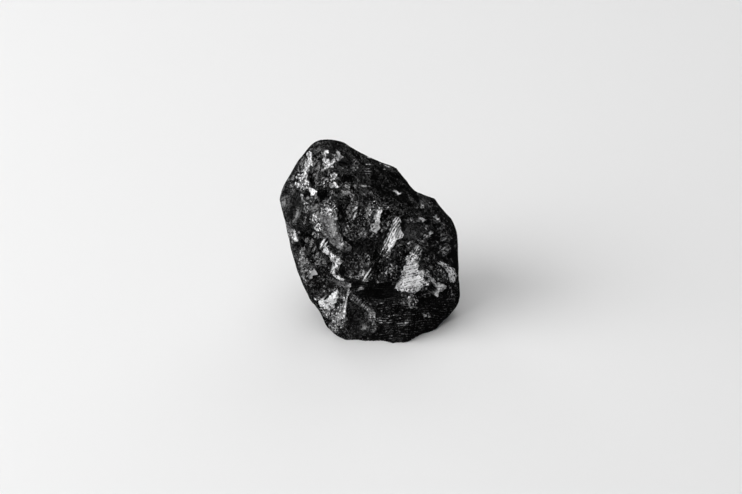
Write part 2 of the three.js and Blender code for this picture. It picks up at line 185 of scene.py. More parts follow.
# Shell-like chips, tried all over the body. small and large are half widths, deep_share is the depth as
# a share of the half width, and lean_spread is how far the floors tilt. There is no chip where the
# surface faces further out than face_limit. Where it faces out or back less than rim_limit, near the
# outline, the depth is cut to the share rim_depth.
Chips = namedtuple(
    "Chips", "count seed small large deep_share lean_spread face_limit rim_limit rim_depth")
BIG_CHIPS = Chips(150, 11, 1.2, 2.6, 0.36, 0.3, 0.25, 0.40, 0.22)
SMALL_CHIPS = Chips(420, 23, 0.45, 1.0, 0.15, 0.35, 2.0, 0.60, 0.6)
CRUMB_CHIPS = Chips(1500, 37, 0.16, 0.45, 0.20, 0.45, 2.0, 0.10, 0.6)
# Where the surface faces out or back less than RIM_WIDTH, no chip falls on ground that earlier scars
# have lowered by more than RIM_LOWEST.
RIM_LOWEST, RIM_WIDTH = 0.05, 0.6
CALM_SPLINTER = 0.35   # no small chips on hollows with a smoother floor than this
CALM_REACH = 0.75      # as far out as this share of the hollow's half length
# The luck of a chip: how far it strays from its even place, up in places and round in radians; how much
# longer than wide it may be; its least depth and what may be added; how its long axis twists.
CHIP_STRAY_UP, CHIP_STRAY_ROUND = 0.8, 0.5
CHIP_LONGER = 0.6
CHIP_SHALLOWEST, CHIP_DEEPER = 0.6, 0.8
CHIP_TWIST = 2.3

# The irregular wander of every scar's edge: a share of the radius, and how fast it waves. Slower waves
# bend these waves.
WANDERS = [(0.013, 12), (0.007, 27)]
WANDER_PHASES = (0, 1.7, 4.2)
WANDER_BEND, WANDER_SLOWING = 2.1, 0.7
EDGE_ROUNDING = 0.05   # fillet along a scar's edge

# Facets: the single broken faces of the front that stand out by their tone, laid out as they are seen
# from VIEW_DISTANCE in front of the core. pale is the tone under the grain: 0 and less is glassy black,
# 1 and more is white with frost. Much of this tone is painted light: the bright facets are painted
# highlights, where the faces would mirror the lamps, laid over pale frost, and the dark ones are painted
# shade in hollows and on faces turned from the light, over glassy black. splinter is how broken the face
# is. roll turns its grain, in degrees from across. sunk is how far its edge steps down. corners are
# across and up.
VIEW_DISTANCE = 247.2
VIEW_CENTRE = np.array([0.24, -0.48])   # what the view is centred on, across and up from the core
Facet = namedtuple("Facet", "name pale splinter roll sunk corners")
FACETS = [
    # glassy and shadowed places first
    Facet("upper slope", -0.26, 0.6, -35, 0, [
        (0.5, 9.6), (1.9, 9), (3.2, 8.6), (4.4, 7.6), (5.6, 6.4), (6.2, 5.4), (5.5, 4.2), (4.2, 4.4),
        (2.8, 5.4), (1.3, 5.5), (0.2, 6.6), (0.1, 8.3)]),
    Facet("temple groove", -0.25, 0.8, 86, 0.1, [
        (-6.8, 10.9), (-5.9, 10.9), (-5.6, 10.2), (-5.8, 8.8), (-6, 7.6), (-6.1, 6.6), (-6.8, 6.7),
        (-7.1, 7.3), (-7.3, 8), (-7.1, 8.8), (-6.7, 9.2)]),
    Facet("cheek shade", -0.03, 0.6, 10, 0.04, [
        (-10.2, 6.5), (-9.2, 6.6), (-8.4, 6.4), (-8.2, 5.9), (-8.8, 5.5), (-9.5, 5.8)]),
    Facet("brow gap", 0.17, 0.9, 40, 0, [
        (-4.8, 11), (-4, 11), (-3.7, 10.4), (-4.3, 10.2), (-4.7, 10.3)]),
    Facet("brow shade", -0.26, 0.9, 0, 0, [
        (-3.5, 10), (-2.8, 9.7), (-2.2, 9.2), (-2.3, 8.5), (-3.4, 8.6), (-3.7, 9.2)]),
    Facet("brow hollow", -0.40, 0.2, 0, 0.1, [
        (-3.4, 7.8), (-2.8, 8.2), (-1.8, 8.2), (-1.2, 7.8), (-1.4, 7.2), (-2.3, 7), (-3.1, 7.2)]),
    Facet("brow ledge", -0.44, 0.15, -4, 0, [
        (-6.1, 6.4), (-4.7, 6.5), (-3.4, 6.4), (-2, 6.2), (-1.3, 5.2), (-2.9, 4.7), (-3.7, 4.7),
        (-4.2, 5.2), (-4.8, 5.8), (-5, 4.8), (-6.1, 4.8), (-6.7, 5.3)]),
    Facet("left hollow", -0.50, 0.35, -60, 0.08, [
        (-8.2, 1.4), (-7.3, 1.7), (-6.4, 1.1), (-5.9, 0.2), (-5.9, -0.8), (-5.6, -1.8), (-6.1, -2.3),
        (-7.1, -1.8), (-7.9, -0.8), (-8.3, 0.2)]),
    Facet("jaw shade", 0.04, 1, -50, 0, [
        (-7.1, -1.7), (-5.6, -1.4), (-4.7, -2.3), (-4.6, -3.2), (-5.3, -3.7), (-6.4, -3.2), (-7.1, -2.5)]),
    Facet("left lens", 0.16, 0.15, 66, 0.06, [
        (-9.5, 5.6), (-8.5, 6), (-8, 5.2), (-7.9, 4), (-8.8, 2.3), (-9.4, 2.3), (-9.7, 3.5), (-9.6, 4.7)]),
    Facet("centre shade", -0.34, 0.7, 75, 0.06, [
        (-3.7, 4.7), (-2.2, 4.8), (-2, 3.7), (-2.3, 2.8), (-3, 2), (-3.6, 2.3), (-4, 3.5)]),
    Facet("blade shade", 0.06, 0.8, 80, 0.1, [
        (1.6, 3.8), (2.3, 4), (2.9, 3.6), (2.9, 2.8), (2.5, 2), (2.2, 1.4), (1.6, 1.7), (1.3, 2.5)]),
    Facet("deep hole", 0.06, 0.3, 8, 0.1, [
        (-2, -0.1), (-1.6, 0.4), (-0.4, 0.2), (0.8, 0.4), (1.7, 0.2), (1.8, -0.5), (1.4, -1.3), (0.6, -2.3),
        (0.2, -1.8), (-0.4, -1.1), (-1.3, -0.7), (-2, -0.8)]),
    Facet("crevice", -0.20, 0.5, 86, 0.12, [
        (0.4, -1.6), (1.1, -0.4), (1.8, -0.5), (1.7, -1.6), (1.3, -3), (1.3, -4.4), (0.6, -4.2),
        (0.2, -2.8)]),
    Facet("root shade", 0.07, 1, 60, 0, [
        (2.3, -1.3), (3, -0.6), (3.7, -0.8), (4.2, -1.6), (4, -2.3), (3.2, -2.5), (2, -2.3)]),
    Facet("hollow shade", 0.12, 0.7, 60, 0, [
        (6.4, -1.3), (7.8, -1.3), (8.3, -2), (7.7, -2.5), (7.6, -3.2), (6.6, -3.2), (6.1, -2.3)]),
    Facet("dark slab", -0.24, 0.12, -4, 0, [
        (-1.9, -5.5), (-1.1, -4.9), (-0.5, -4.7), (0.2, -3.7), (0.8, -4.4), (1.7, -4.6), (2.6, -4.8),
        (3, -5.4), (3.2, -6.4), (2.8, -7.1), (1.3, -6.8), (0.1, -6.6), (-1.1, -6.5)]),
    Facet("oval pit", 0.32, 0.6, 60, 0.06, [
        (-3.2, -2.3), (-2.6, -1.6), (-1.6, -1.1), (-1, -1.6), (-0.8, -2.5), (-1.4, -3.2), (-2.5, -3.4),
        (-3.2, -3.2)]),
    Facet("round pit", 0.15, 0.6, 20, 0.08, [
        (-6.8, -4.3), (-6.1, -3.8), (-5.4, -3.4), (-4.6, -3.7), (-3.8, -4.3), (-3.2, -4.9), (-3.8, -5.3),
        (-4.3, -5.8), (-4.7, -6.4), (-5.6, -6.7), (-6.4, -6.5), (-7, -5.9), (-7.2, -5)]),
    Facet("foot pit", 0.30, 0.25, 95, 0.1, [
        (-2.6, -7.1), (-2, -7), (-1.3, -7.6), (-0.4, -8), (0, -8.8), (0.1, -9.7), (0, -10.6), (-1, -10.9),
        (-2, -10.8), (-2.5, -10), (-2.6, -8.5)]),
    Facet("fork gap", 0.32, 0.3, 80, 0.05, [
        (-3.7, -5.6), (-3.2, -5.4), (-2.8, -5.6), (-3, -6.5), (-3.4, -7.2), (-3.8, -7.3), (-3.8, -6.5)]),
    Facet("right shade", 0.16, 0.7, 60, 0.05, [
        (7.3, 2.5), (8.5, 2.5), (9.4, 2), (9.8, 1.3), (9.4, 0.6), (8.5, 1.3), (7.8, 1.6)]),
    Facet("right hole", 0.34, 0.6, 60, 0.1, [
        (7.4, 0.1), (7.9, 0.4), (8.4, 0), (8, -0.6), (7.4, -0.4)]),
    Facet("right pit", 0.42, 0.7, -60, 0.12, [
        (7.6, -2.3), (8.5, -2.8), (9.2, -3.5), (9.5, -4.4), (9, -4.9), (8.3, -4.6), (7.7, -4),
        (7.3, -3.2)]),
    Facet("dark lozenge", 0.33, 0.5, 0, 0.08, [
        (6.2, -5.5), (7, -5.2), (7.7, -5.3), (7.8, -6.1), (7.1, -6.6), (6.4, -6.4)]),
    Facet("black spot", 0.20, 0.6, 60, 0.12, [
        (3, -0.1), (3.7, 0.4), (4.1, 0), (3.8, -0.6), (3.1, -0.6)]),
    Facet("shoulder pit", 0.00, 0.3, 70, 0.06, [
        (6.2, 4.3), (7.3, 4.2), (7.4, 3.2), (6.5, 3.2)]),
    Facet("lower right face", -0.05, 0.4, 2, 0, [
        (1, -7), (3, -6.6), (6.2, -7.1), (9.8, -6.5), (10.6, -8.5), (8.9, -11.2), (6, -13), (2, -13.4),
        (0.6, -11.2), (0.8, -8.8)]),
    # grey ones
    Facet("smooth facet", 0.34, 0.05, -10, 0.04, [
        (4.3, 2.3), (6.1, 2.3), (6.8, 2), (6.6, 1.3), (6.1, 0.6), (4.9, 0.4), (4.2, 0.6), (4.1, 1.6)]),
    Facet("slope band", 0.60, 0.35, 85, 0.03, [
        (-1.9, 10), (-1.3, 10.1), (-1.2, 9.4), (-1.4, 8.8), (-1.9, 8.5), (-2.2, 9)]),
    Facet("slope foot", 0.08, 0.2, 0, 0, [
        (-3.6, 8.8), (-2.3, 8.8), (-2, 8.3), (-3.4, 8.2)]),
    Facet("ledge end", 0.34, 0.5, 20, 0, [
        (-3.5, 7.1), (-2.8, 7.1), (-2.3, 6.7), (-2.6, 6.4), (-3.2, 6.6)]),
    Facet("centre field", 0.23, 0.6, 60, 0, [
        (-2, 4.8), (-0.8, 5.2), (0.4, 4.8), (0.7, 3.5), (0.5, 2.3), (0.1, 1.4), (-0.8, 1.6), (-1.8, 1.8),
        (-2.2, 3)]),
    Facet("centre foot", 0.32, 0.6, 20, 0, [
        (-2.9, 2), (-2, 2.2), (-0.8, 1.6), (0.1, 1.4), (1, 0.8), (0.7, 0.4), (-0.8, 0.4), (-2, 0.2),
        (-2.8, 0.6), (-3.2, 1.3)]),
    Facet("centre spot", 0.68, 0.35, 20, 0, [
        (-1.1, 1.2), (-0.6, 1.4), (-0.1, 1.2), (-0.2, 0.6), (-1, 0.6)]),
    Facet("notch side", 0.48, 0.7, 50, 0, [
        (-0.1, 4.8), (0.8, 5.2), (1.2, 4.4), (1.1, 3.7), (0.6, 3.2), (0, 3.7)]),
    Facet("plate top", 0.48, 0.6, 70, 0, [
        (-7.8, 4.4), (-6.6, 4.7), (-5.9, 4.8), (-4.9, 5.4), (-4.2, 4.9), (-3.8, 4.4), (-4.3, 3.7),
        (-5.2, 4.4), (-6.4, 3.7), (-7.6, 3.8)]),
    Facet("milky plate", 0.57, 0.15, -60, 0.08, [
        (-6, 3.6), (-5.6, 4.2), (-4.7, 4.3), (-4.3, 3.5), (-4, 2.5), (-3.7, 1.3), (-3.2, 0.7), (-2.8, 0),
        (-1.9, -0.6), (-2.3, -1), (-3, -1.1), (-3.8, -0.6), (-4.6, 0), (-5, 0.6), (-5.6, 1.2), (-5.8, 2.3),
        (-6, 3)]),
    Facet("streaked step", 0.52, 0.3, -8, 0, [
        (4.3, 2.8), (5.2, 3.1), (6.4, 3.1), (7, 2.8), (6.6, 2.5), (5.3, 2.4), (4.4, 2.4)]),
    Facet("right scales", 0.59, 0.55, 40, 0.04, [
        (6.6, 1.9), (7.1, 2.3), (7.2, 1.6), (7.4, 1.3), (7.6, 0.6), (7, 0.4), (6.5, 0.8), (6.4, 1.4)]),
    Facet("right mid", 0.41, 0.5, 30, 0, [
        (8.5, 1.2), (9.4, 1.3), (10.1, 0.6), (9.6, 0.1), (8.6, 0.2)]),
    Facet("right flank", 0.50, 0.5, 30, 0.04, [
        (8.3, -0.4), (9, 0), (9.7, -0.2), (9.8, -1.1), (9, -1.7), (8.2, -1.1)]),
    Facet("cheek field", 0.36, 0.65, 20, 0, [
        (4.2, 0.1), (5.6, 0.4), (6.6, 0.4), (7.4, -0.1), (7.1, -0.8), (6.4, -1.1), (5.9, -0.6),
        (4.7, -0.8)]),
    Facet("outer cheek", 0.20, 0.8, -60, 0, [
        (9.5, -4.9), (10.4, -4.7), (10.7, -5.9), (10.3, -7.1), (9.4, -6.6)]),
    Facet("shoulder scales", 0.25, 0.8, 50, 0, [
        (6.8, 4.9), (7.6, 4.9), (7.7, 4.3), (7, 4.2)]),
    Facet("shoulder glint", 0.63, 0.5, 75, 0.03, [
        (5.8, 4.8), (6.2, 5.2), (6.6, 4.9), (6.6, 4.2), (6.2, 4)]),
    Facet("mottled wall", 0.58, 0.6, 70, 0.05, [
        (1.8, -3), (2.6, -2.4), (3.2, -2.4), (3.5, -3), (2.8, -3.6), (2.6, -4.4), (2.2, -4.7), (1.8, -4)]),
    Facet("pit far wall", 0.30, 0.7, 50, 0.03, [
        (-0.8, -1.1), (-0.4, -1.1), (0.1, -1.6), (0.2, -2.3), (-0.1, -2.9), (-0.8, -2.9), (-1.1, -2)]),
    Facet("pit floor", 0.48, 0.6, 0, 0, [
        (-2.9, -3.4), (-2, -3.2), (-1.3, -3.4), (-0.7, -3), (-0.2, -3.2), (-0.7, -4.1), (-1.3, -4.4),
        (-2.3, -4.2), (-2.9, -4)]),
    Facet("fork", 0.60, 0.12, -20, 0.04, [
        (-4.1, -4.6), (-3.2, -4.4), (-2.6, -4.8), (-1.8, -4.7), (-2.3, -5.3), (-2.9, -5.4), (-3.4, -5.2),
        (-4, -4.9)]),
    Facet("pit foot", 0.22, 0.6, 20, 0, [
        (-7.1, -5.8), (-6.1, -5.8), (-5.2, -6.1), (-5.6, -6.7), (-6.4, -7), (-7, -6.6)]),
    Facet("crescent arm", 0.56, 0.15, 45, 0.04, [
        (-2.5, -5.9), (-2.3, -5.6), (-1.8, -6.2), (-1, -6.8), (-0.5, -7.2), (0, -7.7), (0.5, -8),
        (0.2, -8.4), (-0.1, -8.3), (-0.4, -8), (-1.2, -7.5), (-1.7, -7.2), (-2.5, -6.5)]),
    Facet("crescent foot", 0.56, 0.2, 0, 0.04, [
        (-0.1, -8.3), (0.1, -7.9), (0.5, -8), (0.7, -8.3), (0.8, -9), (0.7, -9.5), (1.1, -10), (0.7, -10.6),
        (0.4, -10.8), (0.1, -10.6), (0.4, -9.8), (0.3, -9.5), (-0.1, -9.2), (-0.2, -8.8)]),
    Facet("layered foot", 0.08, 0.6, 3, 0, [
        (1, -9), (3.1, -8.5), (5.2, -9.2), (5.2, -10.1), (3.1, -10.1), (1.3, -9.8)]),
    Facet("white tail", 0.62, 0.9, 80, 0.04, [
        (4.7, -6.1), (5.4, -6.2), (5.9, -6.8), (5.6, -7.8), (5, -7.7), (4.7, -7.1)]),
    Facet("heel step", 0.60, 0.7, 10, 0, [
        (6.2, -8.3), (7.1, -8.3), (7.6, -8.8), (6.6, -9)]),
    Facet("wall foot", 0.60, 0.4, 60, 0, [
        (-6.1, -7.7), (-4.9, -8), (-4.3, -8.2), (-4, -8.8), (-4.7, -9.2), (-5.5, -8.8)]),
    Facet("left jaw", 0.45, 0.5, 40, 0, [
        (-8, -1.8), (-7.2, -2.3), (-6.8, -3), (-7.1, -4), (-7.3, -4.8), (-7.8, -4.9), (-8.2, -4),
        (-8.2, -2.8)]),
    Facet("left cheek", 0.62, 0.3, -60, 0.03, [
        (-8.4, -0.8), (-7.8, -1.1), (-7.6, -2), (-8, -2.5), (-8.4, -2)]),
    Facet("left flank strip", 0.31, 0.25, -75, 0, [
        (-9.4, -0.1), (-8.6, -0.6), (-8.5, -1.8), (-8.3, -3), (-8.8, -2.8), (-9.1, -1.6)]),
    Facet("left rim", 0.44, 0.2, 80, 0.04, [
        (-10.7, 5.9), (-10, 5.9), (-9.5, 5.5), (-9.5, 4.7), (-10, 4.2), (-10.6, 4.4)]),
    Facet("left rim low", 0.30, 0.25, -75, 0.03, [
        (-10.4, 4.2), (-9.8, 4.1), (-9.7, 3.1), (-9.2, 2), (-9.7, 1.6), (-10.2, 3)]),
    Facet("temple edge", -0.04, 1, 70, 0, [
        (-8.4, 9.6), (-7.7, 10.9), (-7.3, 10.7), (-7.6, 9.7), (-7.9, 8.8), (-8.4, 8.5), (-8.9, 8.3)]),
    # bright ones: painted highlights, over pale frost
    Facet("temple", 0.62, 0.65, 65, 0.05, [
        (-7.4, 10.9), (-7.1, 11), (-7, 9.2), (-7.2, 8.8), (-7.4, 8.4), (-7.4, 7.6), (-7.1, 6.7),
        (-7.2, 6.4), (-7.9, 6.4), (-8.4, 6.6), (-8.9, 6.8), (-9.1, 7.1), (-8.5, 7.4), (-8.3, 7.7),
        (-9, 7.8), (-8.6, 8.2), (-8.2, 8.5), (-7.8, 9.2), (-7.7, 10)]),
    Facet("temple crest", 0.94, 0.3, 80, 0.03, [
        (-7.1, 11), (-6.8, 10.9), (-6.8, 10.2), (-6.7, 9.5), (-6.7, 9.2), (-7.1, 9.4), (-7.2, 8.8),
        (-7.7, 8), (-7.9, 7.8), (-7.8, 8.8), (-7.4, 9.5), (-7.4, 10), (-7.3, 10.6)]),
    Facet("temple foot", 0.88, 0.7, -50, 0, [
        (-7.6, 7.6), (-7.2, 7.4), (-7.1, 6.7), (-7.2, 6.5), (-7.8, 6.6), (-8.3, 6.8), (-7.9, 7.3)]),
    Facet("white square", 1.12, 0.15, -40, 0.05, [
        (-7.2, 6.7), (-7, 6.7), (-6.6, 6.4), (-6.2, 6.1), (-6.5, 5.8), (-6.8, 5.6), (-7.1, 6),
        (-7.2, 6.4)]),
    Facet("brow flake", 1.02, 0.2, 45, 0.04, [
        (-5.6, 10.6), (-5.4, 10.9), (-5.3, 11.2), (-4.8, 11.2), (-4.9, 10.8), (-5.3, 10.4)]),
    Facet("brow facet", 0.86, 0.45, 45, 0.04, [
        (-5.5, 10.3), (-5.2, 10.3), (-4.8, 10), (-4.6, 9.8), (-4.2, 10.2), (-3.7, 10.3), (-3.8, 9.8),
        (-4.2, 9.5), (-4.3, 9.1), (-4.8, 9), (-5.2, 8.8), (-5.4, 8.9), (-5.6, 9.5)]),
    Facet("crown flake", 1.15, 0.4, 80, 0.04, [
        (-4, 11.2), (-3.6, 11), (-3.5, 10.6), (-3.1, 10.3), (-3.4, 10), (-3.6, 9.6), (-3.8, 10.1),
        (-3.7, 10.6)]),
    Facet("cheek field high", 0.50, 0.9, 50, 0, [
        (-5.9, 7.1), (-5.2, 7.8), (-4.6, 7.8), (-4.7, 7.1), (-5.2, 6.6), (-5.6, 6.6)]),
    Facet("cheek flake", 0.80, 0.6, -60, 0.04, [
        (-4.6, 8.4), (-4, 8.4), (-3.7, 7.8), (-4.2, 7.4), (-4.6, 7.4), (-4.7, 8)]),
    Facet("cheek plain", 0.80, 0.1, 20, 0.03, [
        (-4.7, 7.2), (-4.2, 7.3), (-4, 6.7), (-4.3, 6.5), (-4.7, 6.6)]),
    Facet("cheek glint", 1.10, 0.2, 20, 0.03, [
        (-4.3, 7.3), (-4, 7.3), (-3.7, 6.8), (-3.4, 6.7), (-3.8, 6.6), (-4.1, 6.8)]),
    Facet("dish lip", 0.74, 0.2, -20, 0.04, [
        (-8.2, 6.1), (-7.9, 5.8), (-7.8, 5.2), (-7.4, 4.9), (-7.1, 4.8), (-7.2, 4.6), (-7.7, 4.6),
        (-8, 4.9), (-8.2, 5.5)]),
    Facet("plate shelf", 0.62, 0.6, -55, 0.03, [
        (-7.2, 3.2), (-6.6, 3.6), (-6, 3.2), (-5.6, 2.5), (-5.4, 1.7), (-5.9, 1.3), (-6.5, 1.6),
        (-6.8, 1.9), (-6.5, 2.4), (-7.1, 2.8)]),
    Facet("shelf foot", 0.52, 0.9, 40, 0, [
        (-6.8, 1.3), (-6.1, 1.2), (-5.9, 0.6), (-6.4, 0.5), (-6.8, 0.8)]),
    Facet("plate head", 0.88, 0.5, 30, 0.02, [
        (-5.8, 4.1), (-4.9, 4.3), (-4.4, 4), (-4.2, 3.1), (-4.7, 3.2), (-5.2, 3.4), (-5.8, 3.5)]),
    Facet("plate foot", 0.66, 0.2, 30, 0, [
        (-3.7, 1), (-2.9, 0.2), (-1.9, -0.6), (-2.4, -0.9), (-3.2, -0.9), (-3.9, -0.2)]),
    Facet("plate wedge", 0.42, 0.7, 60, 0, [
        (-4.4, 4.7), (-3.8, 4.6), (-3.7, 3.8), (-4, 2.8), (-4.2, 3.2), (-4.3, 4)]),
    Facet("ridge band", 1.08, 0.55, -50, 0.05, [
        (-5.5, -0.6), (-5.2, -0.2), (-4.8, -0.8), (-4.2, -1.4), (-3.5, -1.9), (-3, -2.2), (-3.5, -2.6),
        (-4, -3.1), (-4.1, -3.6), (-3.5, -4.1), (-2.9, -4.4), (-3.1, -4.6), (-4, -4.2), (-4.6, -3.6),
        (-4.6, -3.1), (-4.3, -2.6), (-4.6, -2), (-5, -1.4), (-5.6, -1.1)]),
    Facet("pit wall", 1.12, 0.3, 40, 0.06, [
        (-4.6, -6.2), (-4.2, -5.9), (-3.7, -5.5), (-3.7, -6.5), (-4, -7.2), (-4.2, -7.8), (-4.9, -8),
        (-5.5, -7.8), (-6.1, -7.3), (-5.9, -6.8), (-4.9, -6.7)]),
    Facet("lower left face", 0.60, 0.4, 80, 0.04, [
        (-3.5, -7.3), (-2.9, -7.2), (-2.8, -8.3), (-2.6, -9.2), (-2.8, -10), (-3.4, -10.2), (-3.7, -10.8),
        (-4.3, -10.9), (-4.8, -10.6), (-4.9, -10), (-4.6, -9.4), (-4.4, -8.6), (-4.2, -8)]),
    Facet("foot corner", 0.22, 0.5, 80, 0, [
        (-3.7, -10.8), (-2.8, -9.9), (-1.9, -10.6), (-1.6, -11.3), (-2.6, -11.8), (-3.9, -11.4)]),
    Facet("left column", 0.92, 0.35, 85, 0.02, [
        (-3, -6.4), (-2.8, -6.6), (-2.8, -8), (-2.6, -9.2), (-3, -9.5), (-3.1, -8.3), (-3.2, -7.3)]),
    Facet("left strip", 0.70, 0.35, -60, 0.05, [
        (-9.7, 1.7), (-8.9, 1.7), (-8.6, 1), (-8.5, 0.2), (-8.9, 0.1), (-9.2, 0.4), (-9.5, 0.8)]),
    Facet("strip glint", 1.12, 0.2, -60, 0.02, [
        (-9.1, 1.4), (-8.8, 1.1), (-8.5, 0.4), (-8.8, 0.1), (-9.1, 0.7)]),
    Facet("left chip", 1.95, 0.1, 40, 0.05, [
        (-6.7, -3.2), (-6.5, -3.1), (-6.2, -3.7), (-6.7, -4), (-7, -4.3), (-7.1, -4), (-7, -3.5)]),
    Facet("notch top", 0.60, 0.6, 10, 0.03, [
        (1.1, 4.6), (1.8, 4.6), (2.6, 4.3), (2.5, 4.1), (1.8, 4), (1.1, 4)]),
    Facet("bright notch", 1.04, 0.35, 80, 0.06, [
        (1.1, 4), (1.6, 4), (1.4, 3.2), (1.3, 2.5), (1.3, 1.6), (0.8, 1.4), (0.2, 1.7), (0.2, 2.2),
        (0.7, 2.4), (0.6, 2.9), (0.5, 3.2), (0.8, 3.6)]),
    Facet("notch heel", 1.24, 0.7, 30, 0.03, [
        (0.6, 2.4), (1.2, 2.5), (1.3, 1.7), (0.8, 1.3), (0.1, 1.4), (0.2, 2)]),
    Facet("blade", 0.84, 0.2, 60, 0.1, [
        (3, 3.4), (3.7, 3.1), (3.8, 2.5), (3.7, 2), (4, 1.2), (4, 0.6), (3.5, 0.5), (2.9, -0.4),
        (2.3, -1.3), (1.7, -1.8), (1.6, -1.1), (1.8, 0.1), (2.3, 1.2), (2.6, 2), (2.9, 2.8)]),
    Facet("blade tip", 0.40, 0.5, 60, 0, [
        (1.6, -0.4), (2.5, -0.5), (2.3, -1.3), (1.7, -1.8), (1.5, -1.1)]),
    Facet("blade edge", 1.12, 0.15, 60, 0.03, [
        (3.6, 1.8), (4.1, 1.3), (4.1, 0.6), (3.6, 0.4), (3.2, 0.4), (2.6, -0.5), (2.2, -1.2), (2.3, -0.5),
        (2.9, 0.4), (3.2, 1.2)]),
    Facet("white hollow", 1.10, 0.6, 20, 0.1, [
        (5.2, -1.6), (4.3, -1.8), (4.4, -2.5), (4.1, -3), (3.8, -3.7), (3.7, -4.3), (3.2, -4.9),
        (3.1, -5.5), (3.7, -5.8), (4.7, -5.9), (5.3, -6.1), (5.9, -5.8), (6.4, -5.3), (7.1, -5),
        (7.3, -4.6), (6.8, -4), (6.6, -3.5), (5.9, -3.2), (5.9, -2.5), (6.1, -1.8)]),
    Facet("white core", 1.25, 0.5, 20, 0, [
        (4.6, -2.2), (5.8, -2.4), (5.9, -3.4), (6.6, -3.8), (6.8, -4.4), (5.6, -5.2), (3.8, -5.5),
        (3.4, -5), (4.2, -4.2), (4.3, -3.2)]),
    Facet("white crown", 0.84, 0.9, 55, 0.03, [
        (5.9, -0.1), (6.4, -0.8), (6.2, -1.8), (5.9, -2.5), (5.4, -1.8), (4.7, -1.8), (4.2, -1.7),
        (4.8, -1.3), (5.4, -0.6)]),
    Facet("white shoulder", 0.78, 0.6, 20, 0, [
        (6, -3.2), (7, -3.2), (7.6, -4), (7.3, -4.7), (6.6, -4.7)]),
    Facet("right lip", 1.10, 0.6, -60, 0.06, [
        (8, -2.2), (8.9, -2.3), (9.6, -2.8), (10.2, -3), (10.6, -4), (10.2, -4.8), (9.7, -4.7), (9.5, -3.7),
        (8.9, -3)]),
    Facet("grey facet", 0.92, 0.12, -30, 0.06, [
        (7.4, -4.3), (7.8, -4.2), (8, -4.7), (8.6, -4.8), (9.4, -5.2), (9, -5.6), (8.5, -5.9), (8.2, -6.5),
        (7.8, -6.1), (7.8, -5.4)]),
    Facet("tail edge", 0.90, 0.4, 0, 0, [
        (4.7, -7.1), (5, -7.6), (5.9, -7.7), (5.2, -7.9), (4.8, -7.7)]),
    Facet("slope spot", 1.15, 0.1, -20, 0.04, [
        (2.9, 6.2), (3.2, 6.4), (3.8, 6), (3.8, 5.8), (3.2, 5.9)]),
    Facet("right spark", 1.20, 0.3, 0, 0.04, [
        (6, 3), (6.6, 3), (7, 2.8), (6.4, 2.5)]),
    Facet("right flake", 1.60, 0.3, 20, 0.04, [
        (7.6, 3.1), (8, 3.4), (8.3, 3), (8.3, 2.8), (7.8, 2.9)]),
    Facet("scale spark", 1.12, 0.3, 30, 0.02, [
        (7.2, 1.3), (7.6, 1.4), (7.7, 1.1), (7.3, 1)]),
]
FACET_EDGE = 0.05      # width of the soft edge of a facet
FACET_MARGIN = 0.3     # a facet covers nothing further out than this from its corners
# A facet's edge is ragged: how far it strays, how much its waves bend, and the fast and slow waves that
# move it across and up.
RAGGED_REACH, RAGGED_BEND = 0.07, 2.0
RAGGED_ACROSS, RAGGED_UP = (9.0, 5.0), (8.0, 6.0)
FACETS_APART = (3.0, 2.0)   # how far the grain of each facet is moved on from that of the last
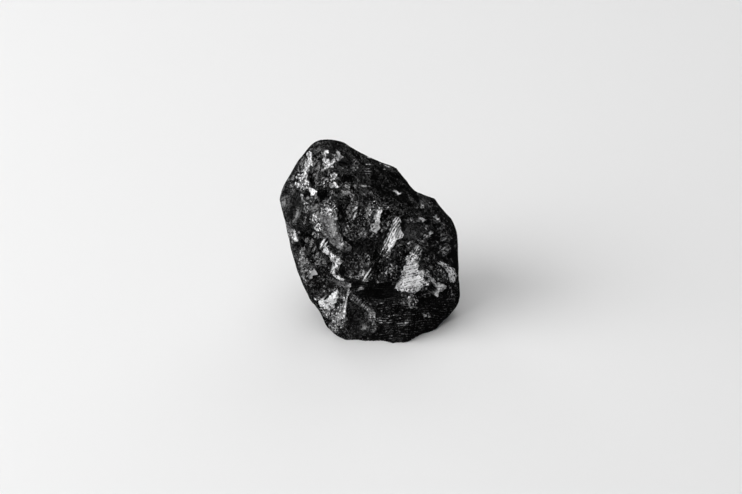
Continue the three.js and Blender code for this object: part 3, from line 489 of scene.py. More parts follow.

# Thin pale lines and specks: across, up, half length, half width, roll, how pale. Many of them are
# painted highlights: thin glints along edges and rims.
STREAKS = [
    (0.12, 10.26, 0.42, 0.13, 0, 0.9), (0, 9.42, 0.48, 0.08, 0, 0.95), (-0.12, 8.6, 0.66, 0.08, 0, 0.9),
    (-0.18, 8.9, 0.42, 0.07, 0, 0.8), (-0.12, 8.3, 0.48, 0.06, 0, 0.75), (-0.6, 6.86, 0.66, 0.14, -5, 0.75),
    (-1.68, 6.9, 0.36, 0.14, 0, 0.45), (-0.66, 5.88, 0.36, 0.13, 0, 0.48),
    (2.16, 9.24, 0.46, 0.14, -24, 0.85), (1.38, 9.54, 0.14, 0.12, 0, 0.7), (1.92, 8.88, 0.30, 0.08, 0, 0.65),
    (-2.7, 6.72, 0.36, 0.24, 0, 0.52), (-0.66, 7.8, 0.48, 0.11, 88, 0.4), (-0.3, 7.8, 0.36, 0.07, 88, 0.36),
    (-5.5, 0.18, 0.60, 0.14, 50, 1.1), (-5.21, -0.12, 0.50, 0.10, 50, 1),
    (-5.66, -0.3, 0.43, 0.10, 50, 1), (-4.98, -0.48, 0.30, 0.06, 50, 0.7),
    (-1.56, 4.14, 0.41, 0.08, 48, 0.95), (-1.7, 3.3, 0.60, 0.12, 68, 1.1), (-1.88, 2.88, 0.14, 0.10, 0, 1),
    (-0.24, -3.78, 1.02, 0.11, 57, 1.2), (0.1, -3.9, 0.78, 0.06, 57, 0.8),
    (0.3, -3.72, 0.48, 0.05, 57, 0.6), (-2.57, -6.18, 0.96, 0.10, 78, 0.95),
    (-2.78, -7.44, 0.84, 0.10, 86, 0.85), (-3.18, -6.48, 0.42, 0.06, -50, 0.6),
    (-0.2, -7.8, 0.42, 0.12, -50, 0.6), (0.68, -8.7, 0.50, 0.08, 86, 0.9),
    (7.51, -2.94, 0.22, 0.18, 0, 1.1), (7.63, -4.32, 0.16, 0.14, 0, 1),
    (9.94, -2.1, 0.30, 0.08, -60, 0.6), (6.8, -2.4, 0.36, 0.06, 85, 0.6),
    (4.8, -7.38, 0.12, 0.31, 12, 0.85), (5.28, -7.63, 0.48, 0.10, 0, 0.75),
    (6.66, -8.64, 0.36, 0.10, -12, 0.85), (2.28, -7.8, 0.34, 0.13, 0, 0.62),
    (1.44, -7.22, 0.26, 0.11, -20, 0.5), (0.78, -7.08, 0.24, 0.11, -30, 0.5),
    (3.36, -8.64, 0.42, 0.10, 0, 0.55), (1.8, -9.05, 0.54, 0.07, 0, 0.6), (1.56, -9.34, 0.50, 0.08, 0, 0.6),
    (2.22, -9.55, 0.36, 0.12, 0, 0.6), (3.84, -9.6, 1.08, 0.06, 0, 0.55),
    (3.6, -9.86, 0.84, 0.06, -4, 0.52), (5.76, -10.68, 0.54, 0.08, 0, 0.5),
    (7.86, -7.08, 0.42, 0.06, 0, 0.45), (6.72, -7.92, 0.60, 0.06, -3, 0.4),
    (-6.42, -6.72, 0.19, 0.10, -40, 0.9), (3.6, -0.12, 0.10, 0.07, 0, 0.3),
    (1.98, 1.74, 0.19, 0.17, 40, 0.65), (2.26, 2.04, 0.10, 0.19, 0, 0.7), (6.3, 1.08, 0.14, 0.12, 0, 0.85),
    (6.78, 0.66, 0.34, 0.07, 35, 0.75), (4.38, 4.68, 0.22, 0.18, 0, 0.42),
    (5.82, 5.88, 0.11, 0.19, 10, 0.6), (6.72, 5.64, 0.14, 0.10, 0, 0.4), (3.24, 7.14, 0.10, 0.18, 40, 0.6),
    (3.42, 7.68, 0.16, 0.10, 0, 0.4), (2.46, 6.86, 0.19, 0.14, 0, 0.34), (8.82, 1.8, 0.22, 0.19, 0, 0.5),
    (8.88, 2.34, 0.54, 0.08, -28, 0.52), (8.04, 2.64, 0.54, 0.07, -4, 0.5),
    (10.32, -0.36, 0.17, 0.14, 0, 0.6), (9.78, 1.62, 0.12, 0.10, 0, 0.45), (-3.96, 2.94, 0.19, 0.17, 20, 1),
    (-4.14, 4.32, 0.29, 0.10, 50, 0.95), (-4.62, 5.46, 0.10, 0.26, 0, 0.7),
    (-4.86, 4.8, 0.10, 0.19, 20, 0.7), (-7.56, 3.6, 0.10, 0.29, 15, 0.7), (-7.62, 3.06, 0.12, 0.12, 0, 0.8),
    (-7.74, 4.14, 0.08, 0.22, 0, 0.85), (-8.58, 3.06, 0.84, 0.12, 60, 0.36),
    (-8.52, 2.34, 0.66, 0.12, 40, -0.35), (-9, 4.02, 0.41, 0.08, 0, 0.36),
    (-8.94, 4.92, 0.14, 0.26, -15, 0.38), (0.48, 1.2, 0.08, 0.24, 20, 0.85),
    (0.9, 1.22, 0.08, 0.22, -25, 0.85), (1.68, 0.78, 0.08, 0.14, -40, 0.6),
    (0.36, -4.2, 0.10, 0.24, -20, 0.35), (-6.9, 5.46, 0.19, 0.08, 0, 0.7),
    (-6.98, 4.98, 0.10, 0.10, 0, 0.75), (-5.78, -3.3, 0.07, 0.19, 10, 0.7),
    (-0.54, -2.52, 0.16, 0.12, 30, 0.6), (-2.76, -1.08, 0.34, 0.10, -20, 0.45),
    (-9.7, 7.74, 0.11, 0.12, 0, 0.55), (-10.14, 6.78, 0.11, 0.24, -20, 0.45),
    (-10.32, 6.36, 0.10, 0.14, 0, 0.5),
]
STREAK_END = 1.5       # a streak fades out at this many of its half sizes
STREAK_CALM = 0.5      # how much calmer the grain is on a streak
PLAIN_PALE = -0.05     # how pale the skin between the facets is

# Facets with fine parallel lines, and how strong the lines are.
LINED = {
    "blade": 1, "blade tip": 1, "blade edge": 1, "white crown": 1, "white core": 1, "white hollow": 1,
    "crescent arm": 0.5, "crescent foot": 0.5, "lower left face": 0.3, "left column": 0.4, "layered foot": 1,
    "lower right face": 1, "right lip": 1, "dark slab": 1,
}
LINE_SWAY, LINE_SWAY_WAVES = 0.10, 1.5   # how far and how fast the lines sway

# Away from the front, painted glints lie where the surface faces one of these directions, pale like
# frost, as a mirrored lamp would light it: across, up, out.
PAINTED_GLINT_DIRECTIONS = [
    (-0.8, 0.5, -0.2), (0.75, 0.3, -0.55), (-0.2, 0.7, -0.65), (0.2, -0.4, -0.9), (-0.65, -0.5, -0.55),
    (0.6, 0.8, 0.1), (0.7, -0.7, -0.2), (-0.95, -0.1, 0.1),
]
GLINT_FROM, GLINT_TO = 0.93, 0.985   # cosines between which the painted glint sets in
# It sets in where the surface faces out less than BEHIND_FROM / BEHIND_STEEPNESS.
BEHIND_FROM, BEHIND_STEEPNESS = 0.4, 2
SKIN_GLINT = 0.4                          # how pale the painted glint makes the unscarred skin
SCAR_GLINT, SCAR_GLINT_MORE = 0.15, 0.75  # and a scar: at least, and what may be added
SMALL_SCAR_SPREAD = 0.30                  # how much the tone of small scars differs
SCAR_TONE_SEED = 61

# Frosted lozenges, scattered over the sides and the back. They are tried evenly all over, and those that
# face further out than the limit or have no luck are left out. The least half length and what may be
# added; the same for the half width, as a share of the length.
LOZENGES_TRIED, LOZENGE_CHANCE, LOZENGE_FACE_LIMIT = 270, 0.2, 0.15
LOZENGE_SEED = 51
LOZENGE_SHORTEST, LOZENGE_LONGER = 0.6, 1.9
LOZENGE_NARROWEST, LOZENGE_WIDER = 0.25, 0.5
LOZENGE_TWIST = 0.3
LOZENGE_PALEST = 0.8
LOZENGE_DEEPEST = 2.5    # how far above or below its middle the surface may lie
# Its outline is part square and part pointed. It ends at the rim, more or less crisply, and nothing past
# its reach is looked at.
SQUARE_SHARE, POINTED_SHARE = 0.6, 0.4
LOZENGE_RIM, LOZENGE_CRISPNESS, LOZENGE_REACH = 1.15, 4, 1.4

# Grain of the surface. On the skin it runs across, with slanting rings. On a scar it follows the long
# axis, in rings around the place where the blow fell, this many half lengths from the middle.
SKIN_SLANT, SKIN_RINGS, SKIN_SPLINTER = 0.4, (0.8, 0.6), 0.75
BLOW_AWAY = 1.3
SCARS_APART = 7.0      # how far the grain of one scar may be moved from that of the next
GRAIN_SEED = 3
RIDGE_GAIN = 3.0       # how soon a bend counts as a crisp ridge or crease

# ---- directions and small helpers ---------------------------------------------------------------------

ACROSS = np.array([1.0, 0.0, 0.0])
UP = np.array([0.0, math.sin(FACE_LEAN), math.cos(FACE_LEAN)])
OUT = np.array([0.0, -math.cos(FACE_LEAN), math.sin(FACE_LEAN)])
FACE_AXES = np.array([ACROSS, UP, OUT])
GOLDEN_ANGLE = math.pi * (3 - math.sqrt(5))
SCATTER_INDEX, SCATTER_SEED, SCATTER_GAIN = 12.9898, 78.233, 43758.5453


def unit(vectors):
    vectors = np.asarray(vectors, float)
    return vectors / np.linalg.norm(vectors, axis=-1, keepdims=True)


def scatter(index, seed):
    """A repeatable number from 0 to 1 for an index and a seed."""
    wave = np.sin(index * SCATTER_INDEX + seed * SCATTER_SEED) * SCATTER_GAIN
    return wave - np.floor(wave)


def spread_evenly(index, count, stray_up=0.0, stray_round=0.0):
    """Directions spread evenly over a ball, on a spiral from its top to its bottom."""
    height = 1 - 2 * (index + 0.5 + stray_up) / count
    angle = index * GOLDEN_ANGLE + stray_round
    ring = np.sqrt(1 - height ** 2)
    return np.stack([ring * np.cos(angle), ring * np.sin(angle), height], axis=1)


def rounded_min(a, b, rounding):
    """The smaller of two lengths, with a fillet about `rounding` wide where they cross."""
    overlap = np.maximum(rounding - np.abs(a - b), 0)
    return np.minimum(a, b) - overlap ** 2 / (4 * rounding)


def wander(d):
    """The directions, each moved a little, so that no scar's edge runs true."""
    moved = d.copy()
    for reach, pitch in WANDERS:
        for axis, phase in enumerate(WANDER_PHASES):
            next_one, last_one = d[:, (axis + 1) % 3], d[:, (axis + 2) % 3]
            bend = WANDER_BEND * np.sin(WANDER_SLOWING * pitch * last_one)
            moved[:, axis] += reach * np.sin(pitch * next_one + phase + bend)
    return unit(moved)


# ---- the unbroken body --------------------------------------------------------------------------------

def outline_radius(angles):
    """How far the outline lies from the core, at each angle around it."""
    total = np.zeros_like(angles)
    weight = np.zeros_like(angles)
    for across, up in OUTLINE:
        near = np.exp(CORNER_FOCUS * (np.cos(angles - math.atan2(up, across)) - 1))
        total += near * math.hypot(across, up)
        weight += near
    return total / weight


def cleaved_radius(d):
    """Radius of the rounded pebble once the cleavage planes have cut it."""
    flat = np.hypot(d[:, 0], d[:, 1]) / outline_radius(np.arctan2(d[:, 1], d[:, 0]))
    thick = np.abs(d[:, 2]) / np.where(d[:, 2] > 0, FRONT_DEPTH, BACK_DEPTH)
    radius = (flat ** FULLNESS + thick ** FULLNESS) ** (-1 / FULLNESS)
    for normal, away, rounding in CLEAVAGES:
        facing = d @ unit(normal)
        seen = facing > LEAST_FACING
        radius[seen] = rounded_min(radius[seen], away / facing[seen], rounding)
    return radius


# ---- scars --------------------------------------------------------------------------------------------

# A scar is the bite of a flattened ball. axes are its three half-axes as rows, each divided by the
# square of its length. middle and reach bound the directions that it can touch: reach is a cosine.
# long_axis and side_axis are the plain directions for its surface grain.
Scar = namedtuple("Scar", "point axes centre middle reach long_axis side_axis long splinter")


def make_scar(point, normal, long_axis, long, wide, deep, splinter):
    """The scar of an oval bite at a point of the surface. The normal points out of its floor."""
    ball = (wide ** 2 + deep ** 2) / (2 * deep)
    e3 = unit(normal)
    e1 = unit(long_axis - e3 * np.dot(long_axis, e3))
    e2 = np.cross(e3, e1)
    centre = point + e3 * (ball - deep)
    axes = np.array([e1 * wide / (long * ball), e2 / ball, e3 / ball])
    away = np.linalg.norm(centre)
    half = ball * long / wide
    reach = math.sqrt(1 - (half / away) ** 2) if half < away else -1.0
    return Scar(point, axes, axes @ centre, centre / away, reach, e1, e2, long, splinter)


def cut_scars(radius, d, scars, owner=None, first=0):
    """Radius after the scars' bites. owner keeps the number of the scar that each direction ends on."""
    cut = radius.copy()
    for number, scar in enumerate(scars):
        near = np.nonzero(d @ scar.middle > scar.reach)[0]
        along = d[near] @ scar.axes.T
        a = (along ** 2).sum(axis=1)
        b = -(along @ scar.centre)
        c = scar.centre @ scar.centre - 1
        inside = b * b - a * c
        met = (inside > 0) & (b < 0)
        near = near[met]
        entry = (-b[met] - np.sqrt(inside[met])) / a[met]
        if owner is not None:
            owner[near[entry < cut[near]]] = first + number
        cut[near] = rounded_min(cut[near], entry, EDGE_ROUNDING)
    return cut


def surface_point(across, up, side):
    """Where the cleaved body is met at a place on the face, looking straight at it from side 1 or -1."""
    inner, outer = 0.0, side * BACK_DEPTH
    for _ in range(HALVINGS):
        middle = (inner + outer) / 2
        point = np.array([[across, up, middle]])
        if np.linalg.norm(point) < cleaved_radius(unit(point))[0]:
            inner = middle
        else:
            outer = middle
    return np.array([across, up, inner])


def make_hollows(hollows, side):
    """The scars of a list of hollows, on the front, side 1, or on the back, side -1."""
    scars = []
    for h in hollows:
        turn = math.radians(h.roll)
        scars.append(make_scar(
            surface_point(h.across, h.up, side), (h.lean_across, h.lean_up, side),
            np.array([math.cos(turn), math.sin(turn), 0.0]), h.long, h.wide, h.deep, h.splinter))
    return scars


def surface_normals(radius_of, d):
    """The way a body faces in each direction, from its radius a small step to either side."""
    side = np.where(np.abs(d[:, :1]) < SIDEWAYS, [[1.0, 0.0, 0.0]], [[0.0, 1.0, 0.0]])
    u = unit(np.cross(d, side))
    v = np.cross(d, u)

    def at(p):
        p = unit(p)
        return p * radius_of(p)[:, None]

    along_u = at(d + u * NORMAL_STEP) - at(d - u * NORMAL_STEP)
    along_v = at(d + v * NORMAL_STEP) - at(d - v * NORMAL_STEP)
    return unit(np.cross(along_u, along_v))


def on_hollow(point, hollow):
    """Whether a point lies on the front, on a hollow's calm floor."""
    return point[2] > 0 and np.hypot(*(point - hollow.point)[:2]) < hollow.long * CALM_REACH


def make_chips(chips, radius_of, calm=()):
    """Chips spread over the body, each with its own luck in place, size, depth, tilt and turn."""
    i = np.arange(chips.count, dtype=float)

    def luck(draw):
        return scatter(i, chips.seed + draw)

    d = spread_evenly(i, chips.count, CHIP_STRAY_UP * (luck(0) - 0.5), CHIP_STRAY_ROUND * luck(1))
    normals = surface_normals(cleaved_radius, d)
    points = d * radius_of(d)[:, None]
    wide = chips.small + (chips.large - chips.small) * luck(2) ** 2
    rim = np.where(np.abs(normals[:, 2]) < chips.rim_limit, chips.rim_depth, 1)
    if chips.face_limit > 1:   # these reach the front, and are narrower near the outline too
        wide = wide * (1 + rim) / 2
    long = wide * (1 + CHIP_LONGER * luck(3))
    deep = wide * chips.deep_share * rim * (CHIP_SHALLOWEST + CHIP_DEEPER * luck(4))
    lean = np.stack([luck(5), luck(6), luck(7)], axis=1) - 0.5
    turn = 2 * math.pi * luck(8)
    long_axis = np.stack([np.cos(turn), np.sin(turn), np.cos(CHIP_TWIST * turn)], axis=1)
    floor = normals + lean * (2 * chips.lean_spread * rim)[:, None]
    splinter = luck(9)
    low = np.linalg.norm(points, axis=1) < cleaved_radius(d) - RIM_LOWEST
    blocked = low & (np.abs(normals[:, 2]) < RIM_WIDTH)
    scars = []
    for k in np.nonzero((normals[:, 2] <= chips.face_limit) & ~blocked)[0]:
        if not any(on_hollow(points[k], hollow) for hollow in calm):
            scars.append(make_scar(
                points[k], floor[k], long_axis[k], long[k], wide[k], deep[k], splinter[k]))
    return scars


# ---- facets -------------------------------------------------------------------------------------------

def ragged(place, aside, waves):
    """Places along one axis, moved to and fro by bent waves that run along the other."""
    fast, slow = waves
    return place + RAGGED_REACH * np.sin(fast * aside + RAGGED_BEND * np.sin(slow * place))


def facet_cover(facet, across, up):
    """1 inside the facet, 0 outside, with a soft and slightly ragged edge."""
    corners = np.array(facet.corners)
    cover = np.zeros(len(across))
    low, high = corners.min(axis=0) - FACET_MARGIN, corners.max(axis=0) + FACET_MARGIN
    near = np.nonzero((across > low[0]) & (across < high[0]) & (up > low[1]) & (up < high[1]))[0]
    x = ragged(across[near], up[near], RAGGED_ACROSS)
    y = ragged(up[near], across[near], RAGGED_UP)
    inside = np.zeros(len(near), bool)
    gap = np.full(len(near), np.inf)
    for (ax, ay), (bx, by) in zip(corners, np.roll(corners, -1, axis=0)):
        share = ((x - ax) * (bx - ax) + (y - ay) * (by - ay)) / ((bx - ax) ** 2 + (by - ay) ** 2)
        share = np.clip(share, 0, 1)
        gap = np.minimum(gap, np.hypot(x - ax - share * (bx - ax), y - ay - share * (by - ay)))
        if ay != by:
            inside ^= ((ay > y) != (by > y)) & (x < (bx - ax) * (y - ay) / (by - ay) + ax)
    cover[near] = np.clip(0.5 + np.where(inside, gap, -gap) / FACET_EDGE, 0, 1)
    return cover


def front_view(face_points):
    """The points of the front, and where they are seen across and up."""
    front = np.nonzero(face_points[:, 2] > 0)[0]
    near = 1 - face_points[front, 2] / VIEW_DISTANCE
    across, up = (VIEW_CENTRE + (face_points[front, :2] - VIEW_CENTRE) / near[:, None]).T
    return front, across, up


def streak_cover(streak, across, up):
    """1 on the streak, falling off to 0 around it."""
    line_across, line_up, long, wide, roll, _ = streak
    turn = math.radians(roll)
    dx, dy = across - line_across, up - line_up
    u = (dx * math.cos(turn) + dy * math.sin(turn)) / long
    v = (dy * math.cos(turn) - dx * math.sin(turn)) / wide
    return np.clip(STREAK_END - np.sqrt(u ** 2 + v ** 2), 0, 1)


def front_tone(face_points):
    """How pale the facets and the streaks alone make each point."""
    front, across, up = front_view(face_points)
    tone = np.zeros(len(face_points))
    for facet in FACETS:
        tone[front] += (facet.pale - tone[front]) * facet_cover(facet, across, up)
    for streak in STREAKS:
        tone[front] += (streak[-1] - tone[front]) * streak_cover(streak, across, up)
    return tone


def sink_facets(face_points):
    """How far the facets step the surface down at each point."""
    front, across, up = front_view(face_points)
    sunk = np.zeros(len(face_points))
    for facet in FACETS:
        if facet.sunk:
            sunk[front] += facet.sunk * facet_cover(facet, across, up)
    return sunk


# ---- the broken body ----------------------------------------------------------------------------------

hollows = make_hollows(FRONT_HOLLOWS, 1) + make_hollows(BACK_HOLLOWS, -1)
fine_hollows = make_hollows(FINE_HOLLOWS, 1)
calm_hollows = [s for s in hollows + fine_hollows if s.splinter < CALM_SPLINTER]


def hollowed_radius(d):
    return cut_scars(cleaved_radius(d), d, hollows)


big_chips = make_chips(BIG_CHIPS, hollowed_radius)
broken = hollows + big_chips + fine_hollows


def broken_radius(d):
    return cut_scars(cleaved_radius(d), d, broken)


small_chips = make_chips(SMALL_CHIPS, broken_radius, calm_hollows)


def chipped_radius(d):
    return cut_scars(broken_radius(d), d, small_chips)


crumb_chips = make_chips(CRUMB_CHIPS, chipped_radius, calm_hollows)
scars = broken + small_chips + crumb_chips


def stone_surface(d):
    """Points of the stone for directions from its core, and the big and small scar that each lies on."""
    face_d = wander(d @ FACE_AXES.T)
    big = np.full(len(d), -1)
    small = np.full(len(d), -1)
    radius = cut_scars(cleaved_radius(face_d), face_d, broken, big)
    radius = cut_scars(radius, face_d, small_chips + crumb_chips, small, len(broken))
    radius -= sink_facets(face_d * radius[:, None])
    down = d[:, 2] < -LEAST_DOWN
    floor = np.full(len(d), np.inf)
    floor[down] = -CORE[2] / d[down, 2]
    return d * np.minimum(radius, floor)[:, None] + CORE, np.stack([big, small])


# ---- the mesh -----------------------------------------------------------------------------------------

START_SUBDIVISIONS = 7
TRIANGLE_LIMIT = 190_000
# Each refining pass splits edges longer than the first length, and those on a crease sharper than the
# angle, in degrees, that are longer than the second.
REFINING = [(0.30, 18, 0.10), (0.24, 26, 0.08), (0.24, 40, 0.08)]
# An edge along which the front's tone steps this much is split down to this length.
TONE_STEP, TONE_LONGEST = 0.20, 0.07
NEW_TRIANGLES = 3   # room kept for each edge that is split
SHARP_ANGLE = math.radians(24)


def link_object(name, data):
    thing = bpy.data.objects.new(name, data)
    bpy.context.scene.collection.objects.link(thing)
    return thing


def add_object(name, mesh):
    """An object of the scene with the mesh's shape. The mesh itself is freed."""
    data = bpy.data.meshes.new(name)
    mesh.to_mesh(data)
    mesh.free()
    return link_object(name, data)


def move_vertices(mesh, points):
    for vertex, point in zip(mesh.verts, points * MM):
        vertex.co = point


def wrap(mesh, middle):
    """Move every vertex straight out from the middle, onto the stone's surface."""
    points, owners = stone_surface(unit(np.array([v.co for v in mesh.verts]) - middle))
    move_vertices(mesh, points)
    return points, owners


def edges_to_split(mesh, tone, longest, crease, crease_longest):
    """The edges that are too long for what they cross, in order, as far as there is room for them."""
    chosen = []
    for edge in mesh.edges:
        length = edge.calc_length() / MM
        a, b = edge.verts
        if length > TONE_LONGEST and abs(tone[a.index] - tone[b.index]) > TONE_STEP:
            chosen.append((length + longest, edge))
        elif length > longest:
            chosen.append((length, edge))
        elif length > crease_longest and edge.calc_face_angle(0) > math.radians(crease):
            chosen.append((length, edge))
    chosen.sort(key=lambda pair: -pair[0])
    room = (TRIANGLE_LIMIT - len(mesh.faces)) // NEW_TRIANGLES
    return [edge for _, edge in chosen[:max(room, 0)]]


def inside_box(points):
    """The points, drawn in as far as they stand out of the solid's box."""
    low, high = (np.array(corner) / MM for corner in cad_box)
    slack = np.maximum(points.max(axis=0) / high, 1.0)
    slack = np.maximum(slack, np.where(low < 0, points.min(axis=0) / np.where(low < 0, low, 1), 1.0))
    return points / slack


def grow_stone():
    """The stone's mesh, the place of each vertex in millimetres, and the scars that it lies on."""
    mesh = bmesh.new()
    bmesh.ops.create_icosphere(mesh, subdivisions=START_SUBDIVISIONS, radius=1.0)
    points, owners = wrap(mesh, 0)
    for longest, crease, crease_longest in REFINING:
        mesh.normal_update()
        mesh.verts.index_update()
        tone = front_tone((points - CORE) @ FACE_AXES.T)
        edges = edges_to_split(mesh, tone, longest, crease, crease_longest)
        bmesh.ops.subdivide_edges(mesh, edges=edges, cuts=1, use_single_edge=True)
        bmesh.ops.triangulate(mesh, faces=[f for f in mesh.faces if len(f.verts) > 3])
        points, owners = wrap(mesh, CORE * MM)
    points = inside_box(points)
    move_vertices(mesh, points)
    mesh.normal_update()
    for face in mesh.faces:
        face.smooth = True
    for edge in mesh.edges:
        edge.smooth = edge.calc_face_angle(0) < SHARP_ANGLE
    return mesh, points, owners


# ---- what the material reads at each point ------------------------------------------------------------

def grain_field(face_points, owner):
    """Per point: place along and across its scar's long axis, distance from where the blow fell."""
    flow = np.empty((len(face_points), 3))
    skin = owner < 0
    flow[skin, 0] = face_points[skin, 0]
    flow[skin, 1] = face_points[skin, 1] + SKIN_SLANT * face_points[skin, 2]
    flow[skin, 2] = SKIN_RINGS[0] * face_points[skin, 1] + SKIN_RINGS[1] * face_points[skin, 2]
    splinter = np.full(len(face_points), SKIN_SPLINTER)
    for number in np.unique(owner[~skin]):
        scar = scars[number]
        here = owner == number
        off = face_points[here] - scar.point
        blow = scar.long_axis * scar.long * BLOW_AWAY
        flow[here, 0] = off @ scar.long_axis + SCARS_APART * scatter(number, GRAIN_SEED)
        flow[here, 1] = off @ scar.side_axis + SCARS_APART * scatter(number, GRAIN_SEED + 1)
        flow[here, 2] = np.linalg.norm(off - blow, axis=1)
        splinter[here] = scar.splinter
    return flow, splinter


def skin_tone(normals, owners):
    """How pale each point is before the facets: small scars differ, and painted glints, pale like frost, lie
    on the back.
    """
    big, small = owners
    pale = np.full(len(normals), PLAIN_PALE)
    luck = scatter(np.arange(len(scars)), SCAR_TONE_SEED)
    chipped = small >= 0
    pale[chipped] += SMALL_SCAR_SPREAD * (luck[small[chipped]] - 0.5)
    # frosted below is a painted glint: paler where the surface faces one of the listed directions, as a
    # mirrored lamp would light it
    facing = (normals @ unit(PAINTED_GLINT_DIRECTIONS).T).max(axis=1)
    frosted = np.clip((facing - GLINT_FROM) / (GLINT_TO - GLINT_FROM), 0, 1)
    behind = np.clip(BEHIND_FROM - normals[:, 2] * BEHIND_STEEPNESS, 0, 1)
    pale += behind * frosted * np.where(big < 0, SKIN_GLINT, SCAR_GLINT + SCAR_GLINT_MORE * luck[big])
    return pale


def lay_facets(face_points, pale, flow, splinter, lined):
    """Give each facet's points its tone, its splinters, a grain of their own and its fine lines."""
    front, across, up = front_view(face_points)
    for number, facet in enumerate(FACETS):
        cover = facet_cover(facet, across, up)
        # the facets' tone: painted highlights on the bright ones and painted shade on the dark ones, over
        # frost and glassy black
        pale[front] += (facet.pale - pale[front]) * cover
        splinter[front] += (facet.splinter - splinter[front]) * cover
        turn = math.radians(facet.roll)
        here = cover > 0.5
        dx, dy = across[here] - facet.corners[0][0], up[here] - facet.corners[0][1]
        flow[front[here], 0] = dx * math.cos(turn) + dy * math.sin(turn) + FACETS_APART[0] * number
        flow[front[here], 1] = dy * math.cos(turn) - dx * math.sin(turn) + FACETS_APART[1] * number
        lined[front[here]] = LINED.get(facet.name, 0)
        if facet.name in LINED:
            sway = LINE_SWAY * np.sin(LINE_SWAY_WAVES * flow[front[here], 0])
            flow[front[here], 2] = flow[front[here], 1] + sway


def lay_streaks(face_points, pale, splinter):
    """Give the streaks their tone, and calm the grain on them."""
    front, across, up = front_view(face_points)
    for streak in STREAKS:
        cover = streak_cover(streak, across, up)
        # the streaks' tone: mostly painted highlights, thin glints along edges and rims
        pale[front] += (streak[-1] - pale[front]) * cover
        splinter[front] *= 1 - STREAK_CALM * cover


def lay_lozenges(face_points, pale):
    """Scatter frosted lozenges over the sides and the back."""
    spots = spread_evenly(np.arange(LOZENGES_TRIED, dtype=float), LOZENGES_TRIED)
    faces = surface_normals(cleaved_radius, spots)
    spots = spots * cleaved_radius(spots)[:, None]
    for k in range(LOZENGES_TRIED):
        chance, roll, size, shape, level = (scatter(k, LOZENGE_SEED + draw) for draw in range(5))
        if faces[k, 2] > LOZENGE_FACE_LIMIT or chance > LOZENGE_CHANCE:
            continue
        turn = 2 * math.pi * roll
        long = LOZENGE_SHORTEST + LOZENGE_LONGER * size ** 2
        wide = long * (LOZENGE_NARROWEST + LOZENGE_WIDER * shape)
        e3 = faces[k]
        e1 = unit(np.cross(e3, [math.cos(turn), math.sin(turn), LOZENGE_TWIST]))
        e2 = np.cross(e3, e1)
        off = face_points - spots[k]
        u = np.abs(off @ e1) / long
        v = np.abs(off @ e2) / wide
        near = (u < LOZENGE_REACH) & (v < LOZENGE_REACH) & (np.abs(off @ e3) < LOZENGE_DEEPEST)
        square, pointed = np.maximum(u[near], v[near]), u[near] + v[near]
        inside = LOZENGE_RIM - square * SQUARE_SHARE - POINTED_SHARE * pointed
        cover = np.clip(inside * LOZENGE_CRISPNESS, 0, 1)
        pale[near] += (LOZENGE_PALEST * level - pale[near]) * cover


def vertex_normals(data):
    normals = np.empty(len(data.vertices) * 3)
    data.vertex_normals.foreach_get("vector", normals)
    return normals.reshape(-1, 3)


def ridge_field(data):
    """How sharply convex each vertex is: 1 on a crisp ridge, 0 on a flat, -1 in a crease."""
    count = len(data.vertices)
    co = np.empty(count * 3)
    data.vertices.foreach_get("co", co)
    co = co.reshape(-1, 3)
    normals = vertex_normals(data)
    pairs = np.empty(len(data.edges) * 2, dtype=np.int32)
    data.edges.foreach_get("vertices", pairs)
    a, b = pairs.reshape(-1, 2).T
    ray = co[b] - co[a]
    length = np.linalg.norm(ray, axis=1)
    bend = np.zeros(count)
    ring = np.zeros(count)
    np.add.at(bend, a, -(ray * normals[a]).sum(axis=1) / length)
    np.add.at(bend, b, (ray * normals[b]).sum(axis=1) / length)
    np.add.at(ring, a, 1)
    np.add.at(ring, b, 1)
    return np.clip(bend / ring * RIDGE_GAIN, -1, 1)


def add_attribute(data, name, values, kind="FLOAT"):
    """Store a value or a vector for each vertex, where the material can read it."""
    attribute = data.attributes.new(name, kind, "POINT")
    key = "value" if kind == "FLOAT" else "vector"
    attribute.data.foreach_set(key, np.ascontiguousarray(values, dtype=np.float32).ravel())


def make_stone():
    mesh, points, owners = grow_stone()
    stone = add_object("black_stone", mesh)
    face_points = (points - CORE) @ FACE_AXES.T
    flow, splinter = grain_field(face_points, np.where(owners[1] < 0, owners[0], owners[1]))
    lined = np.zeros(len(points))
    pale = skin_tone(vertex_normals(stone.data) @ FACE_AXES.T, owners)
    lay_facets(face_points, pale, flow, splinter, lined)
    lay_streaks(face_points, pale, splinter)
    lay_lozenges(face_points, pale)
    add_attribute(stone.data, "pale", pale)
    add_attribute(stone.data, "lined", lined)
    add_attribute(stone.data, "splinter", splinter)
    add_attribute(stone.data, "ridge", ridge_field(stone.data))
    add_attribute(stone.data, "flow", flow, "FLOAT_VECTOR")
    return stone


# ---- materials ----------------------------------------------------------------------------------------

DIAMOND_IOR = 2.42
CRYSTAL_SPECULAR = 0.22   # a dull skin: well under the full shine of clean diamond
BLACK = (0.0, 0.0, 0.0, 1)
# the white of frost, and of the painted highlights on the facets and streaks
FROST_AND_HIGHLIGHT_WHITE = (0.84, 0.84, 0.85, 1)
SHADE_CURVE = 5.0         # how steeply the shade climbs from black to white with the tone
SMOOTHEST, ROUGHEST, ROUGHEST_TONE = 0.12, 0.50, 0.8   # roughness of black, and of tones from here up

